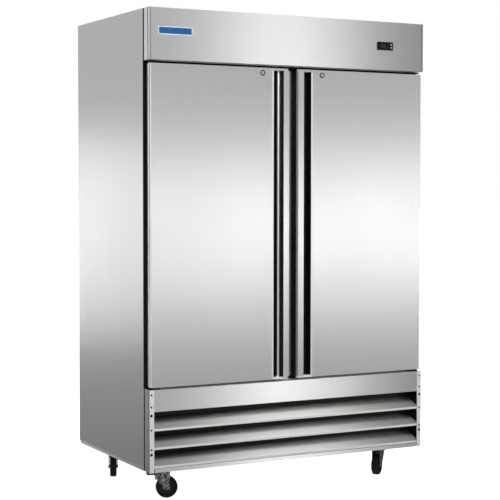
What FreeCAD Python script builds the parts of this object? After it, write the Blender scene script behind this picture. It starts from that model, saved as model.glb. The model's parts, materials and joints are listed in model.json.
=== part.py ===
import FreeCAD, Part
import os
import re
import Sketcher
from FreeCAD import Placement, Rotation, Vector

# Two-door reach-in refrigerator on casters, with a bottom-mounted condensing unit.
# Millimetres. +X is to the right, +Y to the back, +Z up. The origin is on the floor, under the
# centre of the whole object's box. Sizes live in the "Sizes" sheet and everything follows them.

doc = FreeCAD.newDocument("ReachInRefrigerator")

SIZES = {
    # cabinet
    "overall_width": 1374,
    "overall_depth": 822,
    "overall_height": 2095,
    "gauge": 1,
    "wall": 60,
    "back_inset": 6,
    "front_return": 63,
    "flange_width": 12,
    "seam": 3,
    "opening_bottom": 530,
    "opening_top": 1840,
    "mullion_half": 48,
    "mullion_depth": 48,
    "vent_half": 330,
    "vent_first": 40,
    "vent_height": 10,
    "vent_pitch": 22,
    "gland_x": -560,
    "gland_z": 260,
    "gland_radius": 10,
    "gland_collar_radius": 14,
    "gland_bore_radius": 4.5,
    # base
    "pan_bottom": 146,
    "pan_gauge": 2,
    "pan_side_top": 160,
    "pan_front_top": 163,
    "sill_bottom": 404,
    "sill_top": 496,
    "slat_depth": 95,
    "slat_rise": 38,
    "slat_lip": 10,
    "slat_pitch": 79,
    "bracket_inner": 665,
    "screw_x": 678,
    # header
    "header_bottom": 1878,
    "plate_x": -565.5,
    "plate_z": 2000.5,
    "plate_width": 157,
    "plate_height": 33,
    "control_x": 478.5,
    "control_z": 1985.5,
    "control_width": 83,
    "control_height": 37,
    "bezel_depth": 4,
    "cutout_half_width": 36,
    "cutout_half_height": 15,
    "display_near": 33,
    "display_far": 21,
    "display_half_height": 13,
    "button_offset": 31,
    "button_size": 9,
    "button_travel": 1.5,
    # doors
    "door_inset": 11,
    "door_setback": 1,
    "door_depth": 54,
    "door_bottom": 506,
    "door_top": 1864,
    "gasket_gap": 0.3,
    "gasket_width": 20,
    "grip_projection": 10,
    "grip_near": 23,
    "grip_width": 28,
    "grip_depth": 35,
    "grip_gauge": 1.5,
    "bead_radius": 8.5,
    "bead_setback": 25,
    "recess_far": 94.6,
    "channel_depth": 40,
    "channel_gauge": 2,
    "end_band": 10,
    "lock_x": 149,
    "lock_z": 1842,
    "lock_radius": 8,
    # hinges
    "hinge_inset": 24,
    "hinge_setback": 28,
    "pin_radius": 5,
    "running_gap": 0.05,
    "bush_radius": 9,
    "bush_length": 22,
    # inside
    "shelf_depth": 560,
    "shelf_wire": 4,
    "shelf_bar": 7,
    "shelf_first": 780,
    "shelf_step": 300,
    "shelf_gap": 20,
    "shelf_inner": 8,
    "shelf_outer_gap": 10,
    "pilaster_half": 20,
    "pilaster_depth": 8,
    "pilaster_margin": 30,
    "clip_reach": 24,
    "clip_height": 14,
    "evaporator_bottom": 1882,
    "evaporator_half": 330,
    "evaporator_fan_x": 150,
    "evaporator_fan_radius": 68,
    "evaporator_depth": 330,
    "evaporator_coil_front": 210,
    "evaporator_coil_back": 30,
    "evaporator_coil_margin": 12,
    "intake_width": 12,
    "fan_mouth_gap": 3,
    "tube_radius": 5,
    "tube_overhang": 8,
    "fin_gauge": 2,
    "shaft_radius": 4,
    "blade_gauge": 1.6,
    "blade_root": 4,
    "strap_half_height": 8,
    "light_half": 260,
    "light_depth": 26,
    "light_offset": 40,
    "condenser_fan_radius": 105,
    "condenser_z": 300,
    "condenser_half": 180,
    "condenser_rise": 130,
    "shroud_gauge": 2,
    "tray_height": 14,
    "compressor_x": -60,
    "compressor_setback": 390,
    "compressor_radius": 86,
    # casters
    "caster_x": 563,
    "caster_front_y": -235,
    "caster_rear_y": 305,
    "wheel_radius": 47.5,
    "wheel_width": 30,
    "axle_radius": 5,
    "trail": 27,
    "fork_top": 132,
    "fork_gauge": 3,
}

sheet = doc.addObject("Spreadsheet::Sheet", "Sizes")
for row, (alias, value) in enumerate(SIZES.items(), start=1):
    sheet.set(f"A{row}", alias)
    sheet.set(f"B{row}", str(value))
    sheet.setAlias(f"B{row}", alias)
doc.recompute()

# Planes and lines that many pieces share, written as formulas of the sheet's sizes.
HALF = "overall_width / 2"
FRONT = "(grip_projection - overall_depth / 2)"
BACK = "overall_depth / 2"
FACE = f"({FRONT} + front_return)"
REAR_SKIN = f"({BACK} - back_inset - gauge)"
FLOOR_UNDER = "(opening_bottom - wall)"
CEILING = "(overall_height - wall)"
LINER_HALF = f"({HALF} - wall)"
LINER_BACK = f"({BACK} - back_inset - wall)"
DOOR_FRONT = f"({FRONT} + door_setback)"
DOOR_BACK = f"({DOOR_FRONT} + door_depth)"
DOOR_OUTER = f"({HALF} - door_inset)"
DOOR_CAVITY = "(recess_far + gauge)"
HINGE_X = f"({HALF} - hinge_inset)"
HINGE_Y = f"({FRONT} + hinge_setback)"
GRIP_FAR = "(grip_near + grip_width)"
ALONG_Y = Rotation(Vector(1, 0, 0), -90)
ALONG_X = Rotation(Vector(0, 1, 0), 90)
UPRIGHT = Rotation()
LEFT, RIGHT = -1, 1


def formula(text):
    """The same formula with each size's name pointing at the sheet."""
    return re.sub(r"[a-z][a-z_]+", lambda word: "Sizes." + word.group(), str(text))


def bind(thing, **sizes):
    for name, text in sizes.items():
        thing.setExpression(name, formula(text))


def place(thing, x, y, z, rotation=UPRIGHT):
    thing.Placement = Placement(Vector(), rotation)
    for axis, text in zip("xyz", (x, y, z)):
        thing.setExpression(f".Placement.Base.{axis}", formula(text))
    return thing


def block(label, x, y, z):
    """A box from three (low, high) pairs."""
    box = doc.addObject("Part::Box", label)
    bind(
        box,
        Length=f"({x[1]}) - ({x[0]})",
        Width=f"({y[1]}) - ({y[0]})",
        Height=f"({z[1]}) - ({z[0]})",
    )
    return place(box, x[0], y[0], z[0])


def rod(label, radius, length, start, rotation=UPRIGHT):
    cylinder = doc.addObject("Part::Cylinder", label)
    bind(cylinder, Radius=radius, Height=length)
    return place(cylinder, *start, rotation)


def cut(label, base, *tools):
    """The base with every tool taken away."""
    result = base
    for number, tool in enumerate(tools):
        last = number == len(tools) - 1
        step = doc.addObject("Part::Cut", label if last else f"{label}_cut_{number}")
        step.Base, step.Tool = result, tool
        result = step
    return result


def join(label, *pieces):
    fused = doc.addObject("Part::MultiFuse", label)
    fused.Shapes = list(pieces)
    return fused


def group(label, *pieces):
    """Alike pieces that share one node as separate solids."""
    compound = doc.addObject("Part::Compound", label)
    compound.Links = list(pieces)
    return compound


def mirrored(side, near, far):
    """The (low, high) pair in X of a span given as distances from the middle."""
    return (near, far) if side == RIGHT else (f"-({far})", f"-({near})")


def centred(half):
    return (f"-({half})", half)


def sketch_on(body, plane, outline, name):
    """A closed outline of straight lines, each corner held by two distances from the origin."""
    sketch = body.newObject("Sketcher::SketchObject", name)
    support = next(item for item in body.Origin.OriginFeatures if item.Role == plane)
    sketch.AttachmentSupport = [(support, "")]
    sketch.MapMode = "FlatFace"
    add_loop(sketch, outline)
    return sketch


def add_loop(sketch, outline):
    first = sketch.GeometryCount
    count = len(outline)
    ring = [Rotation(Vector(0, 0, 1), 360 * i / count).multVec(Vector(100, 0, 0)) for i in range(count)]
    for here, there in zip(ring, ring[1:] + ring[:1]):
        sketch.addGeometry(Part.LineSegment(here, there), False)
    for i in range(count):
        after = (i + 1) % count
        sketch.addConstraint(Sketcher.Constraint("Coincident", first + i, 2, first + after, 1))
    for i, (across, up) in enumerate(outline):
        for kind, start, text in (("DistanceX", ring[i].x, across), ("DistanceY", ring[i].y, up)):
            number = sketch.addConstraint(Sketcher.Constraint(kind, -1, 1, first + i, 1, start))
            sketch.setExpression(f"Constraints[{number}]", formula(text))


def extrusion(label, plane, outline, length, start="0"):
    """A body with one straight outline padded to a length, moved by start along the pad."""
    body = doc.addObject("PartDesign::Body", label)
    sketch = sketch_on(body, plane, outline, f"{label}_outline")
    pad = body.newObject("PartDesign::Pad", f"{label}_pad")
    pad.Profile = sketch
    bind(pad, Length=length)
    shift = {"XY_Plane": ("0", "0", start), "YZ_Plane": (start, "0", "0")}[plane]
    return place(body, *shift)


def revolved(label, outline, rotation=UPRIGHT, at=("0", "0", "0")):
    """A body turned about its own Z axis from an outline of (radius, height) corners."""
    body = doc.addObject("PartDesign::Body", label)
    sketch = sketch_on(body, "XZ_Plane", outline, f"{label}_outline")
    turn = body.newObject("PartDesign::Revolution", f"{label}_turn")
    turn.Profile = sketch
    turn.ReferenceAxis = (sketch, ["V_Axis"])
    turn.Angle = 360
    return place(body, *at, rotation)


# ---- cabinet -----------------------------------------------------------------------------------

def side_panel(label, side):
    """Outer sheet of one side, with a narrow flange turned in at the cabinet's face."""
    outer = f"({HALF}) * {side}"
    inner = f"({HALF} - gauge) * {side}"
    turned_in = f"({HALF} - flange_width) * {side}"
    outline = [
        (outer, FACE), (turned_in, FACE), (turned_in, f"{FACE} + gauge"),
        (inner, f"{FACE} + gauge"), (inner, BACK), (outer, BACK),
    ]
    return extrusion(
        label, "XY_Plane", outline, "overall_height - gauge - pan_side_top", "pan_side_top",
    )


def top_panel():
    return block("top_panel", centred(HALF), (FACE, BACK), ("overall_height - gauge", "overall_height"))


VENT_ROWS = 10


def back_panel():
    """Rear sheet with rows of vent slots behind the condensing unit and a hole for the cord gland."""
    body = doc.addObject("PartDesign::Body", "back_panel")
    inner = f"({HALF} - gauge)"
    top = "(overall_height - gauge - pan_side_top)"
    corners = [(f"-{inner}", "0"), (inner, "0"), (inner, top), (f"-{inner}", top)]
    pad = body.newObject("PartDesign::Pad", "back_pad")
    pad.Profile = sketch_on(body, "XZ_Plane", corners, "back_outline")
    bind(pad, Length="gauge")
    doc.recompute()
    slots = body.newObject("PartDesign::Pocket", "vent_slot")
    slot_top = "vent_first + vent_height"
    slot_corners = [
        ("-vent_half", "vent_first"), ("vent_half", "vent_first"), ("vent_half", slot_top),
        ("-vent_half", slot_top),
    ]
    slot = sketch_on(body, "XZ_Plane", slot_corners, "slot_outline")
    slots.Profile = slot
    slots.Type = "ThroughAll"
    slots.Midplane = True
    doc.recompute()
    rows = body.newObject("PartDesign::LinearPattern", "vent_rows")
    rows.Originals = [slots]
    rows.Direction = (slot, ["V_Axis"])
    rows.Occurrences = VENT_ROWS
    bind(rows, Length=f"vent_pitch * {VENT_ROWS - 1}")
    body.Tip = rows
    place(body, "0", f"{REAR_SKIN} + gauge", "pan_side_top")
    gland_hole = gland_rod("gland_hole", "gland_radius + 0.3", -5, "12")
    return cut("back_panel_sheet", body, gland_hole)


def gland_rod(label, radius, start, length):
    """A rod along the gland's axis from a distance behind the inside of the rear panel."""
    return rod(label, radius, length, ("gland_x", f"{REAR_SKIN} + {start}", "gland_z"), ALONG_Y)


def power_gland():
    """Strain-relief bush in the rear panel, where the cord enters."""
    thread = gland_rod("gland_thread", "gland_radius", -17, "22")
    collar = gland_rod("gland_collar", "gland_collar_radius", SIZES["gauge"], "back_inset - gauge")
    bore = gland_rod("gland_bore", "gland_bore_radius", -20, "30")
    return cut("power_gland", join("gland_body", thread, collar), bore)


def cabinet_foam():
    """Insulation in six slabs: two sides, floor, ceiling, back and the wall behind the header."""
    outer = f"({HALF} - gauge)"
    inner = f"({LINER_HALF} + gauge)"
    front = f"{FACE} + gauge"
    low = f"{FLOOR_UNDER}"
    high = "overall_height - gauge"
    slabs = [
        block(f"foam_side_{side}", mirrored(side, inner, outer), (front, REAR_SKIN), (low, high))
        for side in (LEFT, RIGHT)
    ]
    across = centred(inner)
    slabs.append(block("foam_floor", across, (front, REAR_SKIN), (low, "opening_bottom - gauge")))
    slabs.append(block("foam_ceiling", across, (front, REAR_SKIN), (f"{CEILING} + gauge", high)))
    upright = ("opening_bottom - gauge", f"{CEILING} + gauge")
    slabs.append(block("foam_back", across, (f"{LINER_BACK} + gauge", REAR_SKIN), upright))
    over_door = ("opening_top + gauge", f"{CEILING} + gauge")
    slabs.append(block("foam_header", across, (front, f"{FACE} + wall - gauge"), over_door))
    return group("cabinet_foam", *slabs)


def cabinet_liner():
    """Inner sheet of the cold space, open at the doors and turned down inside the header wall."""
    inside = centred(LINER_HALF)
    outside = centred(f"{LINER_HALF} + gauge")
    front = f"{FACE} + gauge"
    shell = block(
        "liner_shell", outside, (front, f"{LINER_BACK} + gauge"),
        ("opening_bottom - gauge", f"{CEILING} + gauge")
    )
    bays = block("liner_bays", inside, (FACE, LINER_BACK), ("opening_bottom", "opening_top"))
    top = block("liner_top", inside, (f"{FACE} + wall", LINER_BACK), ("opening_top - 1", CEILING))
    behind_header = block(
        "liner_header", outside, (FACE, f"{FACE} + wall - gauge"),
        ("opening_top + gauge", f"{CEILING} + 2 * gauge")
    )
    return cut("cabinet_liner", shell, bays, top, behind_header)


def face_frame():
    """Flat sheet round the door opening that the gaskets close against."""
    edge = f"{HALF} - flange_width"
    depth = (FACE, f"{FACE} + gauge")
    panel = block("face_sheet", centred(edge), depth, (FLOOR_UNDER, "overall_height - gauge"))
    opening = block(
        "face_opening",
        centred(LINER_HALF),
        (f"{FACE} - 1", f"{FACE} + 5"),
        ("opening_bottom", "opening_top"),
    )
    return cut("face_frame", panel, opening)


def mullion():
    """Hollow post between the two door openings."""
    height = ("opening_bottom", "opening_top")
    post = block("mullion_post", centred("mullion_half"), (FACE, f"{FACE} + mullion_depth"), height)
    inside = block(
        "mullion_inside", centred("mullion_half - 2 * gauge"),
        (f"{FACE} + 2 * gauge", f"{FACE} + mullion_depth - 2 * gauge"),
        ("opening_bottom - 1", "opening_top + 1"),
    )
    return cut("mullion", post, inside)


# ---- shelves -----------------------------------------------------------------------------------

SHELF_LEVELS = 3
SHELF_WIRES = 24
BARS_ALONG_SHELF = (0.04, 0.5, 0.96)
SHELF_BACK = f"({LINER_BACK} - shelf_gap)"
SHELF_FRONT = f"({SHELF_BACK} - shelf_depth)"


def shelf_height(level):
    return f"(shelf_first + shelf_step * {level})"


def shelf_supports():
    """Upright pilasters on the walls, mullion and back, and a clip under each shelf corner."""
    height = ("opening_bottom + pilaster_margin", "opening_top - pilaster_margin")
    half = "pilaster_half / 2"
    from_end = "3 / 2 * pilaster_half"
    wall_depths = [
        (f"{middle} - {half}", f"{middle} + {half}")
        for middle in (f"{SHELF_FRONT} + {from_end}", f"{SHELF_BACK} - {from_end}")
    ]
    posts = []
    for side in (LEFT, RIGHT):
        wall_span = mirrored(side, f"{LINER_HALF} - pilaster_depth", LINER_HALF)
        clip_span = mirrored(side, f"{LINER_HALF} - clip_reach", f"{LINER_HALF} - pilaster_depth")
        posts += [(wall_span, depth, clip_span, depth) for depth in wall_depths]
    middle = centred("pilaster_half")
    mullion_back = f"({FACE} + mullion_depth)"
    front_post = (mullion_back, f"{mullion_back} + pilaster_depth")
    front_clip = (front_post[1], f"{SHELF_FRONT} + {from_end}")
    back_post = (f"{LINER_BACK} - pilaster_depth", LINER_BACK)
    back_clip = (f"{SHELF_BACK} - {from_end}", back_post[0])
    posts += [(middle, front_post, middle, front_clip), (middle, back_post, middle, back_clip)]
    pieces = []
    for number, (post_span, post_depth, clip_span, clip_depth) in enumerate(posts):
        pieces.append(block(f"pilaster_{number}", post_span, post_depth, height))
        for level in range(SHELF_LEVELS):
            under = (f"{shelf_height(level)} - clip_height", shelf_height(level))
            pieces.append(block(f"clip_{number}_{level}", clip_span, clip_depth, under))
    return group("shelf_supports", *pieces)


def wire_shelves():
    """Three welded wire grids in each bay: cross bars with the deck wires laid over them."""
    width = f"({LINER_HALF} - shelf_outer_gap - shelf_inner)"
    shelves = []
    for side in (LEFT, RIGHT):
        span = mirrored(side, "shelf_inner", f"{LINER_HALF} - shelf_outer_gap")
        for level in range(SHELF_LEVELS):
            base = shelf_height(level)
            name = f"shelf_{side}_{level}"
            pieces = []
            for number, along in enumerate(BARS_ALONG_SHELF):
                middle = f"({SHELF_FRONT} + {along} * shelf_depth)"
                depth = (f"{middle} - shelf_bar / 2", f"{middle} + shelf_bar / 2")
                height = (base, f"{base} + shelf_bar")
                pieces.append(block(f"{name}_bar_{number}", span, depth, height))
            deck = (f"{base} + shelf_bar - 1", f"{base} + shelf_bar - 1 + shelf_wire")
            for number in range(SHELF_WIRES):
                start = f"({span[0]}) + ({width} - shelf_wire) * {number} / {SHELF_WIRES - 1}"
                across = (start, f"{start} + shelf_wire")
                pieces.append(block(f"{name}_wire_{number}", across, (SHELF_FRONT, SHELF_BACK), deck))
            shelves.append(join(name, *pieces))
    return group("wire_shelves", *shelves)


# ---- cold air unit and light, under the ceiling --------------------------------------------------

EVAPORATOR_FRONT = f"({LINER_BACK} - evaporator_depth)"
EVAPORATOR_MIDDLE = f"((evaporator_bottom + {CEILING}) / 2)"
INTAKE_OFFSETS = range(60, 200, 30)


def evaporator_cover():
    """Sheet hood with two round fan mouths in front, open above and behind."""
    half = "evaporator_half"
    hood = block(
        "hood_outer", centred(half), (EVAPORATOR_FRONT, LINER_BACK), ("evaporator_bottom", CEILING),
    )
    inside = block(
        "hood_inner", centred(f"{half} - gauge"), (f"{EVAPORATOR_FRONT} + gauge", f"{LINER_BACK} + 1"),
        ("evaporator_bottom + gauge", f"{CEILING} + 1"),
    )
    mouths = []
    for side in (LEFT, RIGHT):
        start = (f"evaporator_fan_x * {side}", f"{EVAPORATOR_FRONT} - 5", EVAPORATOR_MIDDLE)
        radius = "evaporator_fan_radius + fan_mouth_gap"
        mouths.append(rod(f"fan_mouth_{side}", radius, 20, start, ALONG_Y))
    intakes = []
    for offset in INTAKE_OFFSETS:
        depth = (f"{LINER_BACK} - {offset}", f"{LINER_BACK} - {offset} + intake_width")
        height = ("evaporator_bottom - 1", "evaporator_bottom + 5")
        intakes.append(block(f"intake_{offset}", centred("evaporator_half - 60"), depth, height))
    return cut("evaporator_cover", hood, inside, *mouths, *intakes)


def finned_coil(label, half_length, depth, height, fins, tube_rows, tube_columns):
    """Upright fins on round tubes that run along X, between two end plates."""
    pieces = []
    length = f"(2 * ({half_length}) - fin_gauge)"
    for number in range(fins):
        start = f"-({half_length}) + {length} * {number} / {fins - 1}"
        pieces.append(block(f"{label}_fin_{number}", (start, f"{start} + fin_gauge"), depth, height))
    tube_length = f"2 * ({half_length} + tube_overhang)"
    for row in range(tube_rows):
        for column in range(tube_columns):
            back = f"({depth[0]}) + (({depth[1]}) - ({depth[0]})) * {(column + 0.5) / tube_columns}"
            up = f"({height[0]}) + (({height[1]}) - ({height[0]})) * {(row + 0.5) / tube_rows}"
            start = (f"-({half_length}) - tube_overhang", back, up)
            pieces.append(rod(f"{label}_tube_{row}_{column}", "tube_radius", tube_length, start, ALONG_X))
    return join(label, *pieces)


def evaporator_coil():
    depth = (f"{LINER_BACK} - evaporator_coil_front", f"{LINER_BACK} - evaporator_coil_back")
    height = ("evaporator_bottom + evaporator_coil_margin", f"{CEILING} - evaporator_coil_margin")
    half = "evaporator_half - evaporator_coil_back"
    return finned_coil("evaporator_coil", half, depth, height, fins=26, tube_rows=2, tube_columns=3)


BLADE_WIDTH = 0.62
BLADE_PITCH = 24


def fan_blades(label, radius, hub_radius, hub_length, blades, centre):
    """Pitched blades round a hub that is bored for the motor's shaft. The shaft runs along Y."""
    hub = rod(f"{label}_hub", hub_radius, hub_length, ("0", "0", "0"))
    pieces = [hub]
    root = hub_radius - SIZES["blade_root"]
    width = SIZES[radius] * BLADE_WIDTH
    pitch = Rotation(Vector(1, 0, 0), BLADE_PITCH)
    lean = pitch.multVec(Vector(0, -width / 2, -SIZES["blade_gauge"] / 2))
    offset = Vector(root, 0, 0)
    middle = Vector(0, 0, hub_length / 2)
    for number in range(blades):
        blade = doc.addObject("Part::Box", f"{label}_blade_{number}")
        bind(blade, Length=f"{radius} - {root}", Width=f"{radius} * {BLADE_WIDTH}", Height="blade_gauge")
        turn = Rotation(Vector(0, 0, 1), 360 * number / blades)
        blade.Placement = Placement(turn.multVec(offset + lean) + middle, turn * pitch)
        pieces.append(blade)
    bore = rod(f"{label}_bore", "shaft_radius + running_gap", hub_length + 2, ("0", "0", "-1"))
    rim = rod(f"{label}_rim", radius, hub_length, ("0", "0", "0"))
    trimmed = doc.addObject("Part::MultiCommon", f"{label}_trimmed")
    trimmed.Shapes = [join(f"{label}_star", *pieces), rim]
    fan = cut(label, trimmed, bore)
    return place(fan, *centre, ALONG_Y)


def motor(label, radius, length, centre, strap_half, hub_length):
    """Round motor behind a fan, with its shaft and the strap that holds it across the mouth."""
    x, y, z = centre
    can = rod(f"{label}_can", radius, length, (x, f"{y} + {hub_length} + 8", z), ALONG_Y)
    shaft = rod(f"{label}_shaft", "shaft_radius", hub_length + 12, (x, f"{y} - 1", z), ALONG_Y)
    strap_x = (f"{x} - ({strap_half})", f"{x} + {strap_half}")
    strap_y = (f"{y} + {hub_length} + 3", f"{y} + {hub_length} + 9")
    strap_z = (f"{z} - strap_half_height", f"{z} + strap_half_height")
    strap = block(f"{label}_strap", strap_x, strap_y, strap_z)
    return join(label, can, shaft, strap)


EVAPORATOR_HUB = 18
CONDENSER_HUB = 24
EVAPORATOR_FAN_Y = f"({EVAPORATOR_FRONT} + 6)"
CONDENSER_FAN_Y = f"({FACE} + 124)"


def evaporator_fan(label, side):
    centre = (f"evaporator_fan_x * {side}", EVAPORATOR_FAN_Y, EVAPORATOR_MIDDLE)
    return fan_blades(label, "evaporator_fan_radius", 18, EVAPORATOR_HUB, 4, centre)


def fan_motors():
    """The two evaporator motors and the condenser motor, each with its strap."""
    motors = []
    for side in (LEFT, RIGHT):
        centre = (f"evaporator_fan_x * {side}", EVAPORATOR_FAN_Y, EVAPORATOR_MIDDLE)
        label = f"evaporator_motor_{side}"
        motors.append(motor(label, 26, 44, centre, "evaporator_fan_radius + 8", EVAPORATOR_HUB))
    centre = ("0", CONDENSER_FAN_Y, "condenser_z")
    strap_half = "condenser_fan_radius + 17"
    motors.append(motor("condenser_motor", 34, 56, centre, strap_half, CONDENSER_HUB))
    return group("fan_motors", *motors)


def interior_light():
    """Long lamp with its lens on the inside of the header wall."""
    depth = (f"{FACE} + wall", f"{FACE} + wall + light_depth")
    height = ("opening_top + light_offset", "opening_top + light_offset + light_depth")
    return block("interior_light", centred("light_half"), depth, height)


# ---- condensing unit ----------------------------------------------------------------------------

UNIT_HALF = 250
UNIT_FRONT = f"({FACE} + 40)"
UNIT_BACK = f"({FACE} + 520)"
UNIT_TOP = "(pan_bottom + 2 * pan_gauge)"
COIL_DEPTH = (f"{UNIT_FRONT} + 10", f"{UNIT_FRONT} + 54")
COIL_TOP = "(condenser_z + condenser_rise)"
SHROUD_BACK = f"({UNIT_FRONT} + 104)"


def condensing_base():
    """Shallow tray that the condensing unit is bolted to and slides out on for service."""
    height = ("pan_bottom + pan_gauge", "pan_bottom + pan_gauge + tray_height")
    tray = block("unit_tray", centred(UNIT_HALF), (UNIT_FRONT, UNIT_BACK), height)
    depth = (f"{UNIT_FRONT} + pan_gauge", f"{UNIT_BACK} - pan_gauge")
    inside = centred(f"{UNIT_HALF} - pan_gauge")
    hollow = block("unit_hollow", inside, depth, (UNIT_TOP, f"{UNIT_TOP} + tray_height"))
    return cut("condensing_base", tray, hollow)


def condenser_coil():
    height = (UNIT_TOP, COIL_TOP)
    return finned_coil(
        "condenser_coil", "condenser_half", COIL_DEPTH, height, fins=30, tube_rows=5, tube_columns=2
    )


def condenser_shroud():
    """Sheet box behind the coil with the fan's round mouth in its rear face."""
    front = COIL_DEPTH[1]
    box = block("shroud_box", centred("condenser_half"), (front, SHROUD_BACK), (UNIT_TOP, COIL_TOP))
    inside = block(
        "shroud_inside", centred("condenser_half - shroud_gauge"),
        (f"{front} - shroud_gauge", f"{SHROUD_BACK} - shroud_gauge"),
        (f"{UNIT_TOP} + shroud_gauge", f"{COIL_TOP} - shroud_gauge"),
    )
    start = ("0", f"{SHROUD_BACK} - 3 * shroud_gauge", "condenser_z")
    mouth = rod("shroud_mouth", "condenser_fan_radius + 4", "6 * shroud_gauge", start, ALONG_Y)
    return cut("condenser_shroud", box, inside, mouth)


def compressor():
    """Welded steel shell on a foot plate with four rubber feet."""
    x, y = "compressor_x", f"({FACE} + compressor_setback)"
    widest = "compressor_radius"
    outline = [
        ("0", "0"), (f"{widest} - 16", "0"), (widest, "22"), (widest, "150"), (f"{widest} - 12", "184"),
        (f"{widest} - 46", "202"), ("0", "206"),
    ]
    shell = revolved("compressor_shell", outline, at=(x, y, f"{UNIT_TOP} + 20"))
    plate_x = (f"{x} - {widest} - 24", f"{x} + {widest} + 24")
    plate_y = (f"{y} - {widest} + 6", f"{y} + {widest} - 6")
    plate = block("compressor_plate", plate_x, plate_y, (f"{UNIT_TOP} + 14", f"{UNIT_TOP} + 24"))
    feet = [
        rod(f"compressor_foot_{across}_{along}", 14, 16, (f"{x} + {across}", f"{y} + {along}", UNIT_TOP))
        for across in (-92, 92) for along in (-62, 62)
    ]
    return join("compressor", shell, plate, *feet)


# ---- base ---------------------------------------------------------------------------------------

def base_pan():
    """Folded bottom tray whose front lip closes the louvres from below."""
    outer = f"({HALF} - gauge)"
    neck = "(bracket_inner - seam)"
    under = "pan_bottom"
    tray = block("pan_tray", centred(outer), (FACE, REAR_SKIN), (under, "pan_side_top"))
    nose = block("pan_nose", centred(neck), (FRONT, f"{FACE} + 20"), (under, "pan_front_top"))
    inside = block(
        "pan_inside", centred(f"{outer} - pan_gauge"),
        (f"{FACE} + pan_gauge", f"{REAR_SKIN} - pan_gauge"),
        ("pan_bottom + pan_gauge", "pan_front_top + 1"),
    )
    nose_inside = block(
        "nose_inside", centred(f"{neck} - pan_gauge"), (f"{FRONT} + pan_gauge", f"{FACE} + 21"),
        ("pan_bottom + pan_gauge", "pan_front_top + 1"),
    )
    return cut("base_pan", join("pan_outer", tray, nose), inside, nose_inside)


def sill_panel():
    """Sheet folded back at its top and bottom edges, between the louvres and the doors."""
    front, fold = FRONT, f"{FRONT} + gauge"
    outline = [
        (front, "sill_bottom"), (f"{front} + 15", "sill_bottom"),
        (f"{front} + 15", "sill_bottom + gauge"),
        (fold, "sill_bottom + gauge"), (fold, "sill_top - gauge"), (FACE, "sill_top - gauge"),
        (FACE, "sill_top"), (front, "sill_top"),
    ]
    return extrusion("sill_panel", "YZ_Plane", outline, "2 * bracket_inner", "-bracket_inner")


LOUVRE_SLATS = 3
BRACKET_GAUGE = 2


def louvre_slats():
    """Slats that rise to the back from an upright front lip."""
    lip_plane = f"({FRONT} + {BRACKET_GAUGE})"
    length = f"{HALF} - flange_width - gauge"
    slats = []
    for number in range(LOUVRE_SLATS):
        lip = f"(pan_front_top + 1 + slat_pitch * {number})"
        back = f"{lip_plane} + slat_depth"
        outline = [
            (lip_plane, lip), (lip_plane, f"{lip} + slat_lip"), (back, f"{lip} + slat_lip + slat_rise"),
            (back, f"{lip} + slat_lip + slat_rise - 1.6"),
            (f"{lip_plane} + 1.5", f"{lip} + slat_lip - 1.2"),
            (f"{lip_plane} + 1.5", lip),
        ]
        slats.append(
            extrusion(f"slat_{number}", "YZ_Plane", outline, f"2 * ({length})", f"-({length})"),
        )
    return group("louvre_slats", *slats)


def grille_brackets():
    """The two upright angles that hold the slats and the sill panel."""
    pieces = []
    height = ("pan_bottom", "sill_top")
    for side in (LEFT, RIGHT):
        outer = f"{HALF}"
        flange = block(
            f"bracket_flange_{side}",
            mirrored(side, "bracket_inner", outer),
            (FRONT, f"{FRONT} + {BRACKET_GAUGE}"),
            height,
        )
        leg = block(
            f"bracket_leg_{side}",
            mirrored(side, f"{outer} - seam - {BRACKET_GAUGE}", f"{outer} - seam"),
            (f"{FRONT} + 1", f"{FACE} - seam"), height,
        )
        pieces.append(join(f"bracket_{side}", flange, leg))
    return group("grille_brackets", *pieces)


SMALL_SCREW_HEIGHTS = (245, 328, 425, 476)
LARGE_SCREW_HEIGHTS = (224, 389)


def grille_screws():
    pieces = []
    for side in (LEFT, RIGHT):
        for heights, radius in ((SMALL_SCREW_HEIGHTS, 3), (LARGE_SCREW_HEIGHTS, 4.5)):
            for z in heights:
                start = (f"screw_x * {side}", f"{FRONT} - 1.5", z)
                pieces.append(rod(f"screw_{side}_{z}", radius, 1.5, start, ALONG_Y))
    return group("grille_screws", *pieces)


# ---- header -------------------------------------------------------------------------------------

def header_panel():
    """Bent sheet: a front with hemmed ends, set-back side returns, and a cut-out for the controller."""
    hem = f"{FRONT} + 8"
    low, high = "header_bottom", "overall_height"
    rear = f"{FACE} - seam"
    front = block("header_front", centred(HALF), (FRONT, hem), (low, high))
    returns = block("header_returns", centred(f"{HALF} - seam"), (f"{FRONT} + 2", rear), (low, high))
    hollow = block(
        "header_hollow", centred(f"{HALF} - seam - gauge"), (f"{FRONT} + gauge", f"{FACE} + 1"),
        (f"{low} + gauge", f"{high} - gauge"),
    )
    window = block(
        "header_window",
        ("control_x - cutout_half_width - 0.3", "control_x + cutout_half_width + 0.3"),
        (f"{FRONT} - 1", f"{FRONT} + 20"),
        ("control_z - cutout_half_height - 0.3", "control_z + cutout_half_height + 0.3"),
    )
    return cut("header_panel", join("header_outer", front, returns), hollow, window)


DISPLAY_X = ("control_x - display_near", "control_x + display_far")
DISPLAY_Z = ("control_z - display_half_height", "control_z + display_half_height")
BUTTON_BACK = f"({FRONT} - 0.5)"
BUTTON_OFFSETS_Z = {"button_up": 7, "button_down": -7}


def name_plate():
    half = "plate_width / 2"
    tall = "plate_height / 2"
    return block(
        "name_plate", (f"plate_x - {half}", f"plate_x + {half}"), (f"{FRONT} - 1.5", FRONT),
        (f"plate_z - {tall}", f"plate_z + {tall}"),
    )


def button_span(offset, margin=0.0):
    return (
        (
            f"control_x + button_offset - button_size / 2 - {margin}",
            f"control_x + button_offset + button_size / 2 + {margin}",
        ),
        (
            f"control_z + {offset} - button_size / 2 - {margin}",
            f"control_z + {offset} + button_size / 2 + {margin}",
        ),
    )


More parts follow.
